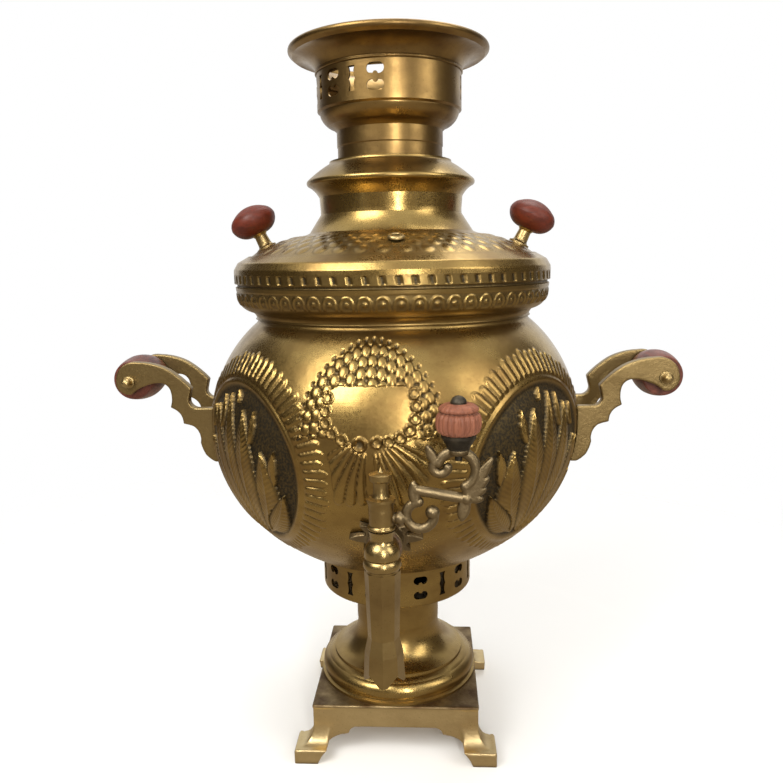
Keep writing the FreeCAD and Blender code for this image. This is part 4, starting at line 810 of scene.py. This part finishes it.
def glow(name):
    """A surface that only gives off light."""
    s = Surface(name)
    s.set("Base Color", (0, 0, 0, 1))
    s.set("Specular IOR Level", 0.0)
    s.set("Emission Strength", 1.0)
    return s


def reflected_only(card, name, material):
    """Names a card of the studio and lets only the metal's reflections see it."""
    card.name = name
    card.data.materials.append(material)
    card.visible_camera = False
    card.visible_diffuse = False
    card.visible_shadow = False


def room_card(name, azimuth, distance, width, height, centre, tone):
    """An upright card, as a wall of the room that the metal reflects, darker towards its foot."""
    bpy.ops.mesh.primitive_plane_add(size=1.0)
    card = bpy.context.object
    turn = math.radians(azimuth)
    card.scale = (width, height, 1.0)
    card.rotation_euler = (math.radians(90), 0, turn)
    card.location = (math.sin(turn) * distance, AXIS_Y - math.cos(turn) * distance, centre)
    s = glow(name + "_paint")
    up = s.node("ShaderNodeSeparateXYZ", _0=s.place).outputs["Y"]
    s.set("Emission Color", s.mix(s.band(up, -0.5, 0.5), [c * 0.55 for c in tone], tone))
    reflected_only(card, name, s.material)


def table_card():
    """A level card just over the floor, as the table that the metal reflects."""
    place = (0, AXIS_Y, 0.4 * MM)
    bpy.ops.mesh.primitive_circle_add(vertices=64, radius=TABLE_R, fill_type="NGON", location=place)
    s = glow("table_card_paint")
    s.set("Emission Color", (*TABLE_TONE, 1.0))
    reflected_only(bpy.context.object, "table_card", s.material)


def studio_world():
    """A white world: at full strength in the background and in reflections, and softer as light."""
    world = bpy.data.worlds.new("studio")
    bpy.context.scene.world = world
    world.use_nodes = True
    tree = world.node_tree
    background = tree.nodes["Background"]
    path = tree.nodes.new("ShaderNodeLightPath")
    seen = tree.nodes.new("ShaderNodeMath")
    seen.operation = "MAXIMUM"
    tree.links.new(path.outputs["Is Camera Ray"], seen.inputs[0])
    mirrored = tree.nodes.new("ShaderNodeMath")
    mirrored.operation = "MAXIMUM"
    tree.links.new(path.outputs["Is Glossy Ray"], mirrored.inputs[0])
    tree.links.new(path.outputs["Is Transmission Ray"], mirrored.inputs[1])
    tree.links.new(mirrored.outputs[0], seen.inputs[1])
    level = tree.nodes.new("ShaderNodeMapRange")
    tree.links.new(seen.outputs[0], level.inputs[0])
    level.inputs[3].default_value = DIFFUSE_LEVEL
    level.inputs[4].default_value = 1.0
    background.inputs["Color"].default_value = (1.0, 1.0, 1.0, 1.0)
    tree.links.new(level.outputs[0], background.inputs["Strength"])


def softbox(name, azimuth, elevation, distance, size, power):
    """A rectangular lamp that looks at the middle of the samovar."""
    light = bpy.data.lights.new(name, "AREA")
    light.shape = "RECTANGLE"
    light.size = size[0]
    light.size_y = size[1]
    light.energy = power
    light.color = WARM_WHITE
    lamp = bpy.data.objects.new(name, light)
    bpy.context.scene.collection.objects.link(lamp)
    turn = math.radians(azimuth)
    rise = math.radians(elevation)
    aim = Vector((0, AXIS_Y, LAMP_AIM_HEIGHT))
    away = Vector((math.sin(turn) * math.cos(rise), -math.cos(turn) * math.cos(rise), math.sin(rise)))
    lamp.location = aim + away * distance
    lamp.rotation_euler = away.to_track_quat("Z", "Y").to_euler()


def photo_camera():
    """The camera at the photograph's place, turned so that axis and horizon fall where they do there."""
    data = bpy.data.cameras.new("camera")
    data.sensor_width = 36.0
    data.lens = FOCAL_PX / PICTURE * data.sensor_width
    data.clip_start = 0.02
    camera = bpy.data.objects.new("camera", data)
    bpy.context.scene.collection.objects.link(camera)
    aside = math.sin(EYE_AZIMUTH) * EYE_DISTANCE
    before = math.cos(EYE_AZIMUTH) * EYE_DISTANCE
    eye = Vector((aside, AXIS_Y - before, EYE_HEIGHT))
    to_axis = math.atan((AXIS_COLUMN - PICTURE / 2) / FOCAL_PX)
    pitch = math.atan((PICTURE / 2 - HORIZON_ROW) / FOCAL_PX)
    heading = Matrix.Rotation(EYE_AZIMUTH + to_axis, 4, "Z")
    tilt = Matrix.Rotation(math.radians(90) - pitch, 4, "X")
    roll = Matrix.Rotation(-ROLL, 4, "Z")
    camera.matrix_world = Matrix.Translation(eye) @ heading @ tilt @ roll
    bpy.context.scene.camera = camera


pale_floor()
room_card("wall_left", -88, 1.5, 3.0, 2.4, 0.45, DARK_WALL)
room_card("wall_right", 88, 1.5, 3.0, 2.4, 0.45, WALL)
room_card("wall_front", 0, 2.0, 3.4, 2.6, 0.5, FRONT_WALL)
table_card()
studio_world()
softbox("key_left", -38, 42, 1.3, (0.7, 0.7), 14)
softbox("strip_right", 14, 16, 1.15, (0.10, 0.75), 7)
softbox("fill_right", 62, 28, 1.4, (0.5, 0.8), 6)
softbox("top", 150, 70, 1.3, (0.8, 0.8), 8)
photo_camera()
bpy.context.scene.view_settings.view_transform = "Standard"
